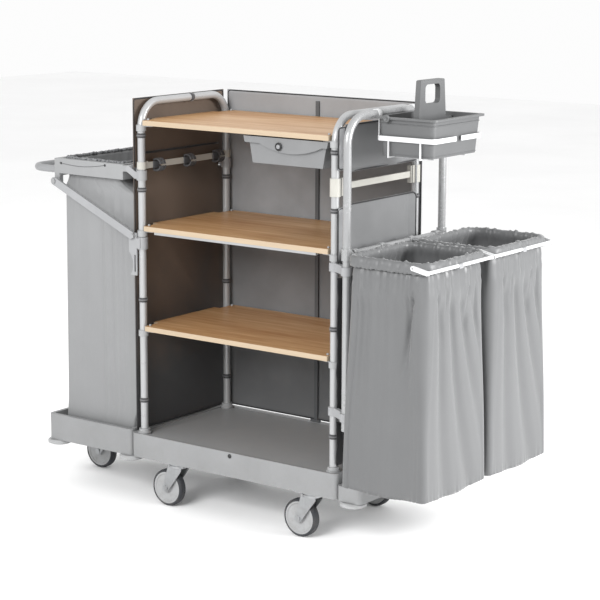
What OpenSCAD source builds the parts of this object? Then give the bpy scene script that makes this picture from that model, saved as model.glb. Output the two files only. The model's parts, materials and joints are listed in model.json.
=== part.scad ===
// Housekeeping cart: shelf bay on a castor base, linen bag on a folding frame at one end,
// two waste bags and a bottle caddy on an outer hoop at the other end.
// Origin: on the floor, at the centre of the footprint. +X runs towards the two bags, -Y is the open front.

/* [Base] */
// Length of the main deck
deck_l = 846; // [650:1:1100]
// Width of the deck, front to back
deck_w = 503; // [430:1:640]
// Height of the moulded skirt
skirt_h = 82; // [60:1:110]
// Wall thickness of the mouldings
shell_t = 5; // [4:0.5:8]
// Corner radius of the mouldings
corner_r = 16; // [8:1:30]
// Length of the linen platform
platform_l = 380; // [300:1:480]
// How far the platform's lip stands above the deck
platform_lip = 8; // [4:1:14]
// Depth of the platform's recess below its lip
recess_d = 26; // [12:1:34]
// Length of the low rail under the waste bags
rail_l = 92; // [88:1:140]
// Height of that rail
rail_h = 48; // [38:1:58]

/* [Castors] */
// Wheel diameter
wheel_d = 125; // [100:5:160]
// Tyre width
tyre_w = 32; // [26:1:36]
// Tyre thickness
tyre_t = 9; // [6:1:14]
// Horizontal offset of the axle from the swivel pin
castor_trail = 42; // [30:1:52]
// Clearance from the top of the wheel to the deck's underside
castor_head = 33; // [31:1:50]
// Axle and swivel pin radius
pin_r = 6; // [4:0.5:7]
// Radial clearance of every running fit
run_gap = 0.08; // [0.03:0.01:0.1]
// Bumper roller diameter
roller_d = 84; // [60:1:88]
// Bumper roller thickness
roller_t = 16; // [10:1:20]

/* [Frame] */
// Outside diameter of the frame tubes
tube_d = 25; // [20:1:30]
// Wall of the frame tubes
tube_t = 1.5; // [1:0.5:3]
// Height of the hoops' top centre line above the deck
hoop_h = 1106; // [1090:1:1400]
// Centre line radius of the hoops' corners
hoop_r = 82; // [60:1:110]
// Distance from the deck's end to the posts
post_in_x = 34; // [28:1:60]
// Distance from the deck's front edge to the posts
post_in_y = 31; // [28:1:50]
// Distance of the outer hoop from the deck's end
outer_off = 42; // [32:1:46]
// Width of the outer hoop between leg centres
outer_w = 530; // [480:1:620]

/* [Shelves] */
// Heights of the three shelf tops above the deck
shelf_tops = [366, 701, 1048];
// Board thickness
board_t = 16; // [12:1:20]
// How far the boards run past the post centres, front and back
board_over = 14; // [8:1:16]
// Gap between a board's corner and the post
board_gap = 4; // [2:1:8]

/* [Drawer] */
// Width of the drawer's top
drawer_w = 322; // [240:1:360]
// Depth of the drawer
drawer_l = 400; // [300:1:410]
// Height of the drawer
drawer_h = 84; // [60:1:110]

/* [Fabric] */
// Thickness of the side and back panels
cloth_t = 2.5; // [2:0.5:4]
// Wall thickness of the bags
bag_t = 5; // [4:1:8]
// Length of one waste bag along the cart
bag_l = 301; // [240:1:360]
// Width of one waste bag
bag_w = 366; // [300:1:420]
// Gap between the two waste bags
bag_gap = 4; // [2:1:20]
// Distance from the deck's end to the waste bags
bag_off = 99; // [97:1:140]
// Height of the bag rings above the deck
ring_z = 702; // [600:1:760]
// Height of the bags' bottoms above the deck
bag_low = -6; // [-10:1:60]

/* [Linen frame] */
// Length of the linen frame from the posts
linen_l = 380; // [320:1:392]
// Height of its pivot above the deck
hinge_h = 885; // [840:1:930]
// How far the push handle stands out past the platform
handle_reach = 127; // [100:1:180]
// Height of the push handle below the pivot
handle_drop = 32; // [26:1:34]
// Height of the strut seats below the pivot
strut_drop = 218; // [160:1:240]

/* [Caddy] */
// Caddy rim length along the cart
caddy_l = 224; // [180:1:260]
// Caddy rim width
caddy_w = 292; // [220:1:300]
// Caddy depth below its rim
caddy_h = 118; // [90:1:130]
// Height of the carrying tower above the rim
tower_h = 108; // [80:1:130]

/* [Hidden] */
$fn = 48;

// Heights
castor_h = wheel_d + castor_head;
deck_z = castor_h + skirt_h;
// Ends of the modules along X
end_x = -(handle_reach + platform_l + deck_l + bag_off + bag_l) / 2;
platform_x0 = end_x + handle_reach;
deck_x0 = platform_x0 + platform_l;
deck_x1 = deck_x0 + deck_l;
bag_x0 = deck_x1 + bag_off;
bag_x1 = bag_x0 + bag_l;
// Post centres
post_x0 = deck_x0 + post_in_x;
post_x1 = deck_x1 - post_in_x;
post_y = deck_w / 2 - post_in_y;
outer_x = deck_x1 + outer_off;
tube_r = tube_d / 2;
seat_gap = 0.2;
module_gap = 1;
eps = 0.5;
fine_fn = 64;

// ---- shared shapes ----

// Rounded rectangle from [x0, y0] to [x1, y1]
module panel2d(x0, y0, x1, y1, r) {
    translate([x0 + r, y0]) square([x1 - x0 - 2 * r, y1 - y0]);
    translate([x0, y0 + r]) square([x1 - x0, y1 - y0 - 2 * r]);
    for (x = [x0 + r, x1 - r], y = [y0 + r, y1 - r]) translate([x, y]) circle(r);
}

// Upright rounded block between two heights
module block(x0, y0, z0, x1, y1, z1, r) {
    translate([0, 0, z0]) linear_extrude(z1 - z0) panel2d(x0, y0, x1, y1, r);
}

// Plain box between two corners
module box(a, b) { translate(a) cube(b - a); }

// Extrude a drawing made in the X-Z plane from y0 to y1
module slab_y(y0, y1) { translate([0, y1, 0]) rotate([90, 0, 0]) linear_extrude(y1 - y0) children(); }

// Extrude a drawing made in the Y-Z plane from x0 to x1
module slab_x(x0, x1) {
    translate([x0, 0, 0]) rotate([90, 0, 90]) linear_extrude(x1 - x0) children();
}

module rod_x(x0, x1, y, z, r) { translate([x0, y, z]) rotate([0, 90, 0]) cylinder(h = x1 - x0, r = r); }
module rod_y(y0, y1, x, z, r) { translate([x, y1, z]) rotate([90, 0, 0]) cylinder(h = y1 - y0, r = r); }
module rod_z(z0, z1, x, y, r) { translate([x, y, z0]) cylinder(h = z1 - z0, r = r); }

// Both sides of the cart
module both() { children(); mirror([0, 1, 0]) children(); }

// Straight bar from a to b with an eye of radius r at each end, drawn in a plane
module stadium(a, b, r) {
    d = b - a;
    half = 0.95 * r;
    translate(a) circle(r);
    translate(b) circle(r);
    translate(a) rotate(atan2(d[1], d[0])) translate([0, -half]) square([norm(d), 2 * half]);
}

// Goal-shaped rod in a Y-Z plane: legs at +-half, from z0 up to z1, corners of radius bend
module goal(x, half, z0, z1, bend, r) {
    for (s = [-1, 1]) {
        rod_z(z0, z1 - bend, x, s * half, r);
        translate([x, s * (half - bend), z1 - bend]) rotate([0, -90, 0]) rotate([0, 0, s > 0 ? 0 : -90])
            rotate_extrude(angle = 90) translate([bend, 0]) circle(r);
    }
    rod_y(-half + bend, half - bend, x, z1, r);
}

// Closed rod loop lying flat at height z
module flat_loop(x0, y0, x1, y1, z, bend, r) {
    rod_x(x0 + bend, x1 - bend, y0, z, r);
    rod_x(x0 + bend, x1 - bend, y1, z, r);
    rod_y(y0 + bend, y1 - bend, x0, z, r);
    rod_y(y0 + bend, y1 - bend, x1, z, r);
    for (c = [[x1, y1, 0], [x0, y1, 90], [x0, y0, 180], [x1, y0, 270]])
        translate([c[0] + (c[0] == x1 ? -bend : bend), c[1] + (c[1] == y1 ? -bend : bend), z])
            rotate([0, 0, c[2]]) rotate_extrude(angle = 90) translate([bend, 0]) circle(r);
}

// ---- base mouldings ----

deck_top_t = 6;
deck_lip_w = 14;
deck_recess = 5;

pad_l = 104;
pad_w = 84;

// Swivel pins of the five castors: front left, front right, back left, back right, linen end
castor_in_x = 139;
castor_in_y = 44;
castor_at = [
    [deck_x0 + castor_in_x + 32, -deck_w / 2 + castor_in_y],
    [deck_x1 - castor_in_x + 16, -deck_w / 2 + castor_in_y],
    [deck_x0 + castor_in_x + 32, deck_w / 2 - castor_in_y],
    [deck_x1 - castor_in_x + 16, deck_w / 2 - castor_in_y],
    [platform_x0 + pad_l / 2 + shell_t, 0]
];

// Bumper rollers: front left, front seam, front right, then the same at the back
roller_over = 15;
roller_y = deck_w / 2 + roller_over - roller_d / 2;
roller_at = [
    [platform_x0 + roller_d / 2 - roller_over, -roller_y],
    [deck_x0 - roller_d / 4, -roller_y],
    [deck_x1 + rail_l - roller_d / 2 - 4, -roller_y],
    [platform_x0 + roller_d / 2 - roller_over, roller_y],
    [deck_x0 - roller_d / 4, roller_y],
    [deck_x1 + rail_l - roller_d / 2 - 4, roller_y]
];
roller_pin_r = 5;
roller_boss_r = 11;

// Thin-walled moulding, open underneath
module tray(x0, x1, z_top, floor_z, floor_t) {
    difference() {
        block(x0, -deck_w / 2, castor_h, x1, deck_w / 2, z_top, corner_r);
        block(x0 + shell_t, -deck_w / 2 + shell_t, castor_h - eps, x1 - shell_t, deck_w / 2 - shell_t,
              floor_z - floor_t, corner_r - shell_t);
        block(x0 + deck_lip_w, -deck_w / 2 + deck_lip_w, floor_z, x1 - deck_lip_w, deck_w / 2 - deck_lip_w,
              z_top + eps, corner_r / 2);
    }
}

// Solid pads that the castors bolt to, and bosses for the rollers
module castor_pad(i, top) {
    c = castor_at[i];
    block(c[0] - pad_l / 2, c[1] - pad_w / 2, castor_h, c[0] + pad_l / 2, c[1] + pad_w / 2, top, 6);
}

module roller_boss(i, top) {
    rod_z(castor_h, top, roller_at[i][0], roller_at[i][1], roller_boss_r);
}

module roller_pin_hole(i) {
    rod_z(castor_h - eps, castor_h + 24, roller_at[i][0], roller_at[i][1], roller_pin_r);
}

module deck_tray() {
    floor_z = deck_z - deck_recess;
    color([0.68, 0.68, 0.68]) difference() {
        union() {
            tray(deck_x0 + module_gap, deck_x1 - module_gap, deck_z, floor_z, deck_top_t);
            for (i = [0:3]) castor_pad(i, floor_z - 1);
            for (x = [post_x0, post_x1], y = [-post_y, post_y])
                rod_z(castor_h + 20, deck_z, x, y, tube_r + 9);
        }
        for (x = [post_x0, post_x1], y = [-post_y, post_y])
            rod_z(castor_h + 24, deck_z + eps, x, y, tube_r + seat_gap);
        for (i = [0:3]) rod_z(castor_h - eps, castor_h + 6, castor_at[i][0], castor_at[i][1], pin_r + 3);
    }
}

module linen_platform() {
    top = deck_z + platform_lip;
    floor_z = top - recess_d;
    color([0.68, 0.68, 0.68]) difference() {
        union() {
            tray(platform_x0, deck_x0 - module_gap, top, floor_z, shell_t);
            castor_pad(4, floor_z - 1);
            for (i = [0, 1, 3, 4]) roller_boss(i, floor_z - 1);
        }
        for (i = [0, 1, 3, 4]) roller_pin_hole(i);
        rod_z(castor_h - eps, castor_h + 6, castor_at[4][0], castor_at[4][1], pin_r + 3);
    }
}

module bag_rail() {
    top = castor_h + rail_h;
    color([0.72, 0.72, 0.72]) difference() {
        union() {
            difference() {
                block(deck_x1, -deck_w / 2, castor_h, deck_x1 + rail_l, deck_w / 2, top, corner_r);
                block(deck_x1 + shell_t, -deck_w / 2 + shell_t, castor_h - eps, deck_x1 + rail_l - shell_t,
                      deck_w / 2 - shell_t, top - shell_t, corner_r - shell_t);
            }
            for (i = [2, 5]) roller_boss(i, top - 1);
        }
        for (i = [2, 5]) roller_pin_hole(i);
    }
}

// Collars that lock the four posts to the deck
foot_h = 14;
module post_feet() {
    color([0.62, 0.63, 0.64]) for (x = [post_x0, post_x1], y = [-post_y, post_y])
        difference() {
            union() {
                rod_z(deck_z, deck_z + 4, x, y, tube_r + 10);
                rod_z(deck_z + 4, deck_z + foot_h, x, y, tube_r + 6);
            }
            rod_z(deck_z - eps, deck_z + foot_h + eps, x, y, tube_r + seat_gap);
        }
}

// ---- bumper rollers ----

roller_z1 = castor_h - 1;
roller_z0 = roller_z1 - roller_t;

module roller_pins() {
    color([0.75, 0.76, 0.78]) for (c = roller_at) {
        rod_z(roller_z0 - 1, castor_h + 22, c[0], c[1], roller_pin_r - 0.02);
        rod_z(roller_z0 - 4, roller_z0 - 1, c[0], c[1], 10);
    }
}

module roller(i) {
    r = roller_d / 2;
    edge = roller_t / 4;
    bore = roller_pin_r - 0.02 + run_gap;
    color([0.72, 0.73, 0.74]) translate([roller_at[i][0], roller_at[i][1], roller_z0])
        rotate_extrude($fn = fine_fn) polygon([
            [bore, 0], [r - 2 * edge, 0], [r, edge], [r, roller_t - edge],
            [r - edge, roller_t], [bore, roller_t]
        ]);
}

// ---- castors ----

plate_t = 3;
race_t = 7;
head_t = 8;
race_gap = 0.3;
head_z1 = castor_h - plate_t - race_t - race_gap;
head_z0 = head_z1 - head_t;
nut_h = 4;
axle_z = wheel_d / 2;
leg_t = 3;
hub_half = tyre_w / 2 + 2;
leg_in = hub_half + 0.5;

module castor_plates() {
    color([0.74, 0.75, 0.77]) for (c = castor_at) {
        block(c[0] - pad_l / 2 + 2, c[1] - pad_w / 2 + 2, castor_h - plate_t, c[0] + pad_l / 2 - 2,
              c[1] + pad_w / 2 - 2, castor_h, 8);
        rod_z(castor_h - plate_t - race_t, castor_h - plate_t, c[0], c[1], 30);
        rod_z(head_z0 - race_gap - nut_h, castor_h - plate_t, c[0], c[1], pin_r);
        rod_z(head_z0 - race_gap - nut_h, head_z0 - race_gap, c[0], c[1], pin_r + 4);
        for (x = [-38, 38], y = [-28, 28])
            rod_z(castor_h - plate_t - 4, castor_h - plate_t, c[0] + x, c[1] + y, 6);
    }
}

// Fork with its riveted axle: head disc, two pressed legs
module fork(i) {
    c = castor_at[i];
    hub_x = -castor_trail;
    color([0.76, 0.77, 0.79]) translate([c[0], c[1], 0]) {
        difference() {
            union() {
                rod_z(head_z0, head_z1, 0, 0, 32);
                box([-26, -leg_in - leg_t, head_z0], [22, leg_in + leg_t, head_z1]);
            }
            rod_z(head_z0 - eps, head_z1 + eps, 0, 0, pin_r + run_gap);
        }
        both() slab_y(leg_in, leg_in + leg_t) {
            polygon([[-28, head_z1], [26, head_z1], [25, head_z0 - 10], [hub_x + 11, axle_z - 8],
                     [hub_x - 12, axle_z - 2]]);
            translate([hub_x, axle_z]) circle(13);
        }
        rod_y(-leg_in - leg_t - 3, leg_in + leg_t + 3, hub_x, axle_z, pin_r);
        both() rod_y(leg_in + leg_t, leg_in + leg_t + 3, hub_x, axle_z, pin_r + 3);
    }
}

module hub(i) {
    c = castor_at[i];
    rim_r = wheel_d / 2 - tyre_t;
    half = tyre_w / 2 - 2;
    bore = pin_r + run_gap;
    color([0.70, 0.70, 0.70]) translate([c[0] - castor_trail, c[1], axle_z]) rotate([90, 0, 0])
        rotate_extrude($fn = fine_fn) polygon([
            [bore, -hub_half], [15, -hub_half], [18, -half + 5], [rim_r - 8, -half + 3], [rim_r - 5, -half],
            [rim_r, -half], [rim_r, half], [rim_r - 5, half], [rim_r - 8, half - 3], [18, half - 5],
            [15, hub_half], [bore, hub_half]
        ]);
}

module tyre(i) {
    c = castor_at[i];
    r = wheel_d / 2;
    half = tyre_w / 2;
    color([0.22, 0.23, 0.25]) translate([c[0] - castor_trail, c[1], axle_z]) rotate([90, 0, 0])
        rotate_extrude($fn = fine_fn) polygon([
            [r - tyre_t, -half + 2], [r - 5, -half], [r - 1, -half + 5], [r, -half + 9], [r, half - 9],
            [r - 1, half - 5], [r - 5, half], [r - tyre_t, half - 2]
        ]);
}

// ---- frame ----

module tube_goal(x, half, z0, z1, bend) {
    difference() {
        goal(x, half, z0, z1, bend, tube_r);
        goal(x, half, z0 - eps, z1, bend, tube_r - tube_t);
    }
}

hoop_z0 = castor_h + 24;
hoop_z1 = deck_z + hoop_h;
module left_hoop() { color([0.80, 0.80, 0.80]) tube_goal(post_x0, post_y, hoop_z0, hoop_z1, hoop_r); }
module right_hoop() { color([0.80, 0.80, 0.80]) tube_goal(post_x1, post_y, hoop_z0, hoop_z1, hoop_r); }

outer_z1 = hoop_z1 + 5;
outer_z0 = deck_z + 150;
module outer_hoop() {
    color([0.86, 0.87, 0.88]) tube_goal(outer_x, outer_w / 2, outer_z0, outer_z1, hoop_r);
}

// Clamped links between the right-hand posts and the outer hoop's legs
link_h = 26;
link_at = [deck_z + 180, deck_z + ring_z - 68];
module hoop_links() {
    a = [post_x1, post_y];
    b = [outer_x, outer_w / 2];
    color([0.74, 0.75, 0.76]) both() for (z = link_at) difference() {
        translate([0, 0, z]) linear_extrude(link_h) {
            stadium(a, b, 7);
            translate(a) circle(tube_r + 5);
            translate(b) circle(tube_r + 5);
        }
        for (p = [a, b]) rod_z(z - eps, z + link_h + eps, p[0], p[1], tube_r + seat_gap);
    }
}

// Flat bar between the right-hand posts, with a clamp at each end
bar_z = deck_z + 891;
bar_h = 20;
module right_crossbar() {
    x0 = post_x1 - 4;
    color([0.88, 0.87, 0.83]) {
        box([x0, -post_y + tube_r + 3, bar_z - bar_h / 2], [x0 + 8, post_y - tube_r - 3, bar_z + bar_h / 2]);
        both() difference() {
            union() {
                rod_z(bar_z - 28, bar_z + 28, post_x1, post_y, tube_r + 4);
                box([x0 - 3, post_y - tube_r - 22, bar_z - 28], [x0 + 11, post_y - tube_r, bar_z + 28]);
            }
            rod_z(bar_z - 28 - eps, bar_z + 28 + eps, post_x1, post_y, tube_r + seat_gap);
        }
    }
}

// ---- shelves ----

// Board with tongues that reach between the posts at both ends
module board(i) {
    z1 = deck_z + shelf_tops[i];
    inner = tube_r + board_gap;
    tongue = 60;
    color([0.80, 0.62, 0.44]) translate([0, 0, z1 - board_t]) linear_extrude(board_t) {
        panel2d(post_x0 + inner, -post_y - board_over, post_x1 - inner, post_y + board_over, 3);
        panel2d(post_x0 - 8, -post_y + tongue, post_x1 + 8, post_y - tongue, 3);
    }
}
module shelf_low() { board(0); }
module shelf_mid() { board(1); }
module shelf_top() { board(2); }

// Collars and tabs that carry the boards, and the stiffening strip under the middle board's front edge
collar_h = 20;
strip_h = 8;
tab_t = 4;
collar_gap = 0.7;
module shelf_supports() {
    strip_z = deck_z + shelf_tops[1] - board_t;
    color([0.80, 0.80, 0.79]) box([post_x0 + tube_r + 50, -post_y - board_over + 1, strip_z - strip_h],
                                  [post_x1 - tube_r - 50, -post_y - board_over + 13, strip_z]);
    color([0.80, 0.80, 0.79]) for (top = shelf_tops) {
        z1 = deck_z + top - board_t;
        for (sx = [0, 1], sy = [-1, 1]) {
            x = sx == 0 ? post_x0 : post_x1;
            inward = sx == 0 ? 1 : -1;
            difference() {
                union() {
                    rod_z(z1 - collar_h, z1, x, sy * post_y, tube_r + 4);
                    translate([0, 0, z1 - tab_t]) linear_extrude(tab_t)
                        stadium([x, sy * post_y], [x + inward * 40, sy * (post_y - 4)], 8);
                }
                rod_z(z1 - collar_h - eps, z1 + eps, x, sy * post_y, tube_r + collar_gap);
            }
        }
    }
}

// ---- drawer under the top shelf ----

drawer_x1 = post_x1 - 24;
drawer_x0 = drawer_x1 - drawer_w;
drawer_z1 = deck_z + shelf_tops[2] - board_t - 5;
drawer_z0 = drawer_z1 - drawer_h;
drawer_y0 = -post_y + 4;
drawer_taper = 16;
flange_w = 10;
flange_t = 3;
wall_t = 3;

// Hanging channels either side of the drawer
module drawer_runners() {
    z1 = deck_z + shelf_tops[2] - board_t;
    y0 = drawer_y0 + 14;
    y1 = drawer_y0 + drawer_l;
    lip = flange_w - 2;
    color([0.78, 0.78, 0.78]) {
        for (s = [0, 1]) {
            edge = s == 0 ? drawer_x0 - 1 : drawer_x1 + 1;
            out = s == 0 ? -1 : 1;
            inx = edge - out * lip;
            outx = edge + out * 2.5;
            box([min(edge, outx), y0, drawer_z1 - flange_t - 4], [max(edge, outx), y1, z1]);
            box([min(inx, outx), y0, drawer_z1 - flange_t - 4],
                [max(inx, outx), y1, drawer_z1 - flange_t - 0.4]);
        }
    }
}

function tub_outline(t, top) = [
    [drawer_x0 + flange_w + t, top], [drawer_x1 - flange_w - t, top],
    [drawer_x1 - flange_w - drawer_taper - t, drawer_z0 + t],
    [drawer_x0 + flange_w + drawer_taper + t, drawer_z0 + t]
];

lock_x = drawer_x0 + drawer_w * 0.43;
lock_z = drawer_z1 - 26;
lock_r = 13;
pull_t = 12;
pull_side = 20;
pull_drop = 46;
pull_r = 290;
module drawer_tub() {
    y1 = drawer_y0 + drawer_l;
    color([0.48, 0.49, 0.50]) difference() {
        union() {
            slab_y(drawer_y0, y1) polygon(tub_outline(0, drawer_z1));
            box([drawer_x0, drawer_y0, drawer_z1 - flange_t], [drawer_x1, y1, drawer_z1]);
            // pull panel, deepest near the middle for the fingers
            slab_y(drawer_y0 - pull_t, drawer_y0) {
                polygon([[drawer_x0 - 2, drawer_z1], [drawer_x1 + 2, drawer_z1],
                         [drawer_x1 - 3, drawer_z1 - pull_side], [drawer_x0 + 3, drawer_z1 - pull_side]]);
                intersection() {
                    translate([drawer_x0 + drawer_w * 0.56, drawer_z1 - pull_drop + pull_r]) circle(pull_r);
                    translate([drawer_x0 + 6, drawer_z1 - pull_drop - 10])
                        square([drawer_w - 12, pull_drop - pull_side + 12]);
                }
            }
        }
        slab_y(drawer_y0 + wall_t, y1 - wall_t) polygon(tub_outline(wall_t, drawer_z1 + eps));
        rod_y(drawer_y0 - pull_t - eps, drawer_y0 + wall_t + eps, lock_x, lock_z, 9 + run_gap);
    }
}

module drawer_lock() {
    color([0.60, 0.61, 0.62]) {
        rod_y(drawer_y0 - pull_t, drawer_y0 + wall_t + 6, lock_x, lock_z, 9);
        difference() {
            rod_y(drawer_y0 - 16, drawer_y0 - 12.3, lock_x, lock_z, lock_r);
            box([lock_x - 1, drawer_y0 - 17, lock_z - 6], [lock_x + 1, drawer_y0 - 14, lock_z + 6]);
        }
        rod_y(drawer_y0 - 12.4, drawer_y0 - 12, lock_x, lock_z, 9);
    }
}

// ---- tool clips on the left ----

hinge_z = deck_z + hinge_h;

clip_z = hinge_z + 12;
clip_at = [-178, -150, -122, -22, 6, 34, 130, 158, 186];
module clip_rail() {
    x0 = post_x0 - 3;
    color([0.82, 0.82, 0.80]) {
        box([x0, -post_y + tube_r + 1, clip_z - 10], [x0 + 6, post_y - tube_r - 1, clip_z + 10]);
        both() difference() {
            union() {
                rod_z(clip_z - 10, clip_z + 14, post_x0, post_y, tube_r + 3);
                box([x0 - 2, post_y - tube_r - 14, clip_z - 10], [x0 + 8, post_y - tube_r, clip_z + 14]);
            }
            rod_z(clip_z - 10 - eps, clip_z + 14 + eps, post_x0, post_y, tube_r + seat_gap);
        }
    }
}

// Rubber fingers: each is a base block and a curved lip
module tool_clips() {
    x0 = post_x0 + 3;
    color([0.20, 0.20, 0.21]) for (y = clip_at * (post_y / 220)) {
        box([x0, y - 5, clip_z - 16], [x0 + 12, y + 5, clip_z + 16]);
        slab_y(y - 5, y + 5) difference() {
            translate([x0 + 12, clip_z]) circle(24);
            translate([x0 + 14, clip_z]) circle(17);
            translate([x0 - 40, clip_z - 40]) square([40.2, 80]);
            translate([x0 + 26, clip_z - 10]) square([40, 20]);
        }
    }
}

// Textile straps that tie the panels to the tubes
band_z = [104, 445, 812, 990];
band_t = 1.6;
module strap_bands() {
    color([0.24, 0.24, 0.25]) for (x = [post_x0, post_x1], y = [-post_y, post_y], h = band_z)
        translate([x, y, deck_z + h]) difference() {
            cylinder(h = 15, r = tube_r + band_t);
            translate([0, 0, -eps]) cylinder(h = 15 + 2 * eps, r = tube_r + seat_gap / 2);
        }
}

// ---- fabric panels ----

panel_off = tube_r + 9;
panel_over = 14;
panel_z0 = deck_z + 5;
back_over = 11;
panel_z1 = hoop_z1 + 12;
notch_up = 16;
notch_down = 38;

module left_panel() {
    x1 = post_x0 - panel_off;
    notch_y = post_y - tube_r - 2.5;
    color([0.25, 0.23, 0.22]) slab_x(x1 - cloth_t, x1) difference() {
        panel2d(-post_y - panel_over, panel_z0, post_y + panel_over, panel_z1, 6);
        for (s = [-1, 1]) translate([s > 0 ? notch_y : -notch_y - 40, hinge_z - notch_down])
            square([40, notch_down + notch_up]);
    }
}

module back_panel() {
    y0 = post_y + tube_r + 9;
    color([0.45, 0.45, 0.46]) slab_y(y0, y0 + cloth_t)
        panel2d(post_x0 - back_over, panel_z0, post_x1 + back_over, panel_z1, 6);
}

// Panel with the window behind the crossbar
window_z0 = deck_z + 838;
window_z1 = deck_z + 935;
module right_panel() {
    x0 = post_x1 + panel_off - 3;
    color([0.40, 0.41, 0.42]) slab_x(x0, x0 + cloth_t) difference() {
        panel2d(-post_y + tube_r + 8, panel_z0, post_y - tube_r - 8, panel_z1 - 36, 6);
        panel2d(-post_y + tube_r + 16, window_z0, post_y - tube_r - 16, window_z1, 4);
    }
}

// Upright batten that stiffens the back panel, with its foot
module back_batten() {
    x = (post_x0 + post_x1) / 2 - 20;
    y1 = post_y + tube_r + 8;
    color([0.30, 0.31, 0.32]) {
        box([x, y1 - 4, deck_z + 8], [x + 14, y1, panel_z1 - 20]);
        box([x - 12, y1 - 9, deck_z], [x + 26, y1, deck_z + 8]);
    }
}

// ---- linen frame ----

hinge_x = post_x0 - tube_r - 31.5;
frame_x0 = post_x0 - linen_l;
side_out = post_y + 12;
side_in = post_y - 6;
rim_up = 12;
rim_down = 38;
end_down = 47;
bar_t = 18;
pivot_r = 5;
strut_pivot = [frame_x0 + 11, hinge_z - 64];
seat_at = [post_x0 - tube_r - 8, hinge_z - strut_drop];
strut_y0 = post_y + 21;
strut_y1 = post_y + 30;
strut_half = 13;

// Side bar with a round eye at the pivot and a lug for the strut
module frame_side2d() {
    translate([hinge_x, hinge_z]) circle(14);
    translate([hinge_x - 30, hinge_z - 10]) square([30, 20]);
    translate([frame_x0, hinge_z - rim_down]) square([hinge_x - 28 - frame_x0, rim_down + rim_up]);
    translate([frame_x0, hinge_z - 78]) square([22, 78]);
}

module linen_frame() {
    color([0.70, 0.71, 0.72]) {
        both() slab_y(side_in, side_out) difference() {
            frame_side2d();
            translate([hinge_x, hinge_z]) circle(pivot_r + run_gap);
        }
        both() rod_y(side_out - 1, strut_y1 + 1.5, strut_pivot[0], strut_pivot[1], pivot_r);
        both() rod_y(strut_y1 + 1.5, strut_y1 + 4, strut_pivot[0], strut_pivot[1], pivot_r + 4);
        difference() {
            box([frame_x0, -side_in - eps, hinge_z - end_down],
                [frame_x0 + bar_t, side_in + eps, hinge_z + rim_up]);
            for (s = [-1, 1]) rod_x(frame_x0 - eps, frame_x0 + 12, s * handle_y, handle_z, tube_r + seat_gap);
        }
        box([hinge_x - 28 - bar_t, -side_in - eps, hinge_z - rim_down],
            [hinge_x - 28, side_in + eps, hinge_z + rim_up]);
    }
}

handle_y = post_y - 30;
handle_z = hinge_z - handle_drop;
handle_bend = 55;
module handle_path(r, extra) {
    tip = end_x + tube_r;
    root = frame_x0 + 11 + extra;
    for (s = [-1, 1]) {
        rod_x(tip + handle_bend, root, s * handle_y, handle_z, r);
        translate([tip + handle_bend, s * (handle_y - handle_bend), handle_z])
            rotate([0, 0, s > 0 ? 90 : 180])
            rotate_extrude(angle = 90) translate([handle_bend, 0]) circle(r);
    }
    rod_y(-handle_y + handle_bend, handle_y - handle_bend, tip, handle_z, r);
}
module push_handle() {
    color([0.66, 0.67, 0.68]) difference() {
        handle_path(tube_r, 0);
        handle_path(tube_r - tube_t, 1);
    }
}

// Struts: an eye at the frame, and a half-round seat at the post
module linen_struts() {
    d = seat_at - strut_pivot;
    ang = atan2(d[1], d[0]);
    len = norm(d);
    color([0.70, 0.71, 0.72]) both() slab_y(strut_y0, strut_y1)
        translate(strut_pivot) rotate(ang) difference() {
            union() {
                circle(strut_half);
                translate([0, -strut_half]) square([len, 2 * strut_half]);
            }
            circle(pivot_r + run_gap);
            translate([len, 0]) circle(8.4);
        }
}

// Clamped to the left-hand posts: pivot ears above, strut seats with slotted plates below
ear_t = 4;
module linen_brackets() {
    color([0.66, 0.67, 0.68]) both() {
        difference() {
            union() {
                rod_z(hinge_z - 34, hinge_z - 2, post_x0, post_y, tube_r + 5);
                for (y = [side_in - 1 - ear_t, side_out + 1]) slab_y(y, y + ear_t)
                    stadium([hinge_x, hinge_z], [post_x0 - 14, hinge_z - 18], 11);
                box([post_x0 - tube_r - 5, side_in - 1 - ear_t, hinge_z - 29],
                    [post_x0 - 6, side_out + 1 + ear_t, hinge_z - 7]);
            }
            rod_z(hinge_z - 35, hinge_z - 1, post_x0, post_y, tube_r + seat_gap);
        }
        rod_y(side_in - 1 - ear_t, side_out + 1 + ear_t, hinge_x, hinge_z, pivot_r);
        // strut seat
        difference() {
            union() {
                rod_z(seat_at[1] - 44, seat_at[1] - 4, post_x0, post_y, tube_r + 6);
                slab_y(strut_y0 - 6, strut_y0 - 1) difference() {
                    translate([seat_at[0] - 22, seat_at[1] - 132]) square([34, 142]);
                    translate([seat_at[0] - 62, seat_at[1] - 96]) circle(58);
                    stadium([seat_at[0] + 4, seat_at[1] - 118], [seat_at[0] + 4, seat_at[1] - 66], 3);
                }
                box([post_x0 - 10, post_y, seat_at[1] - 40], [post_x0 + 6, strut_y0 - 1, seat_at[1] - 8]);
            }
            rod_z(seat_at[1] - 45, seat_at[1] - 3, post_x0, post_y, tube_r + seat_gap);
        }
        rod_y(strut_y0 - 1.5, strut_y1 + 2, seat_at[0], seat_at[1], 8);
    }
}

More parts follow.
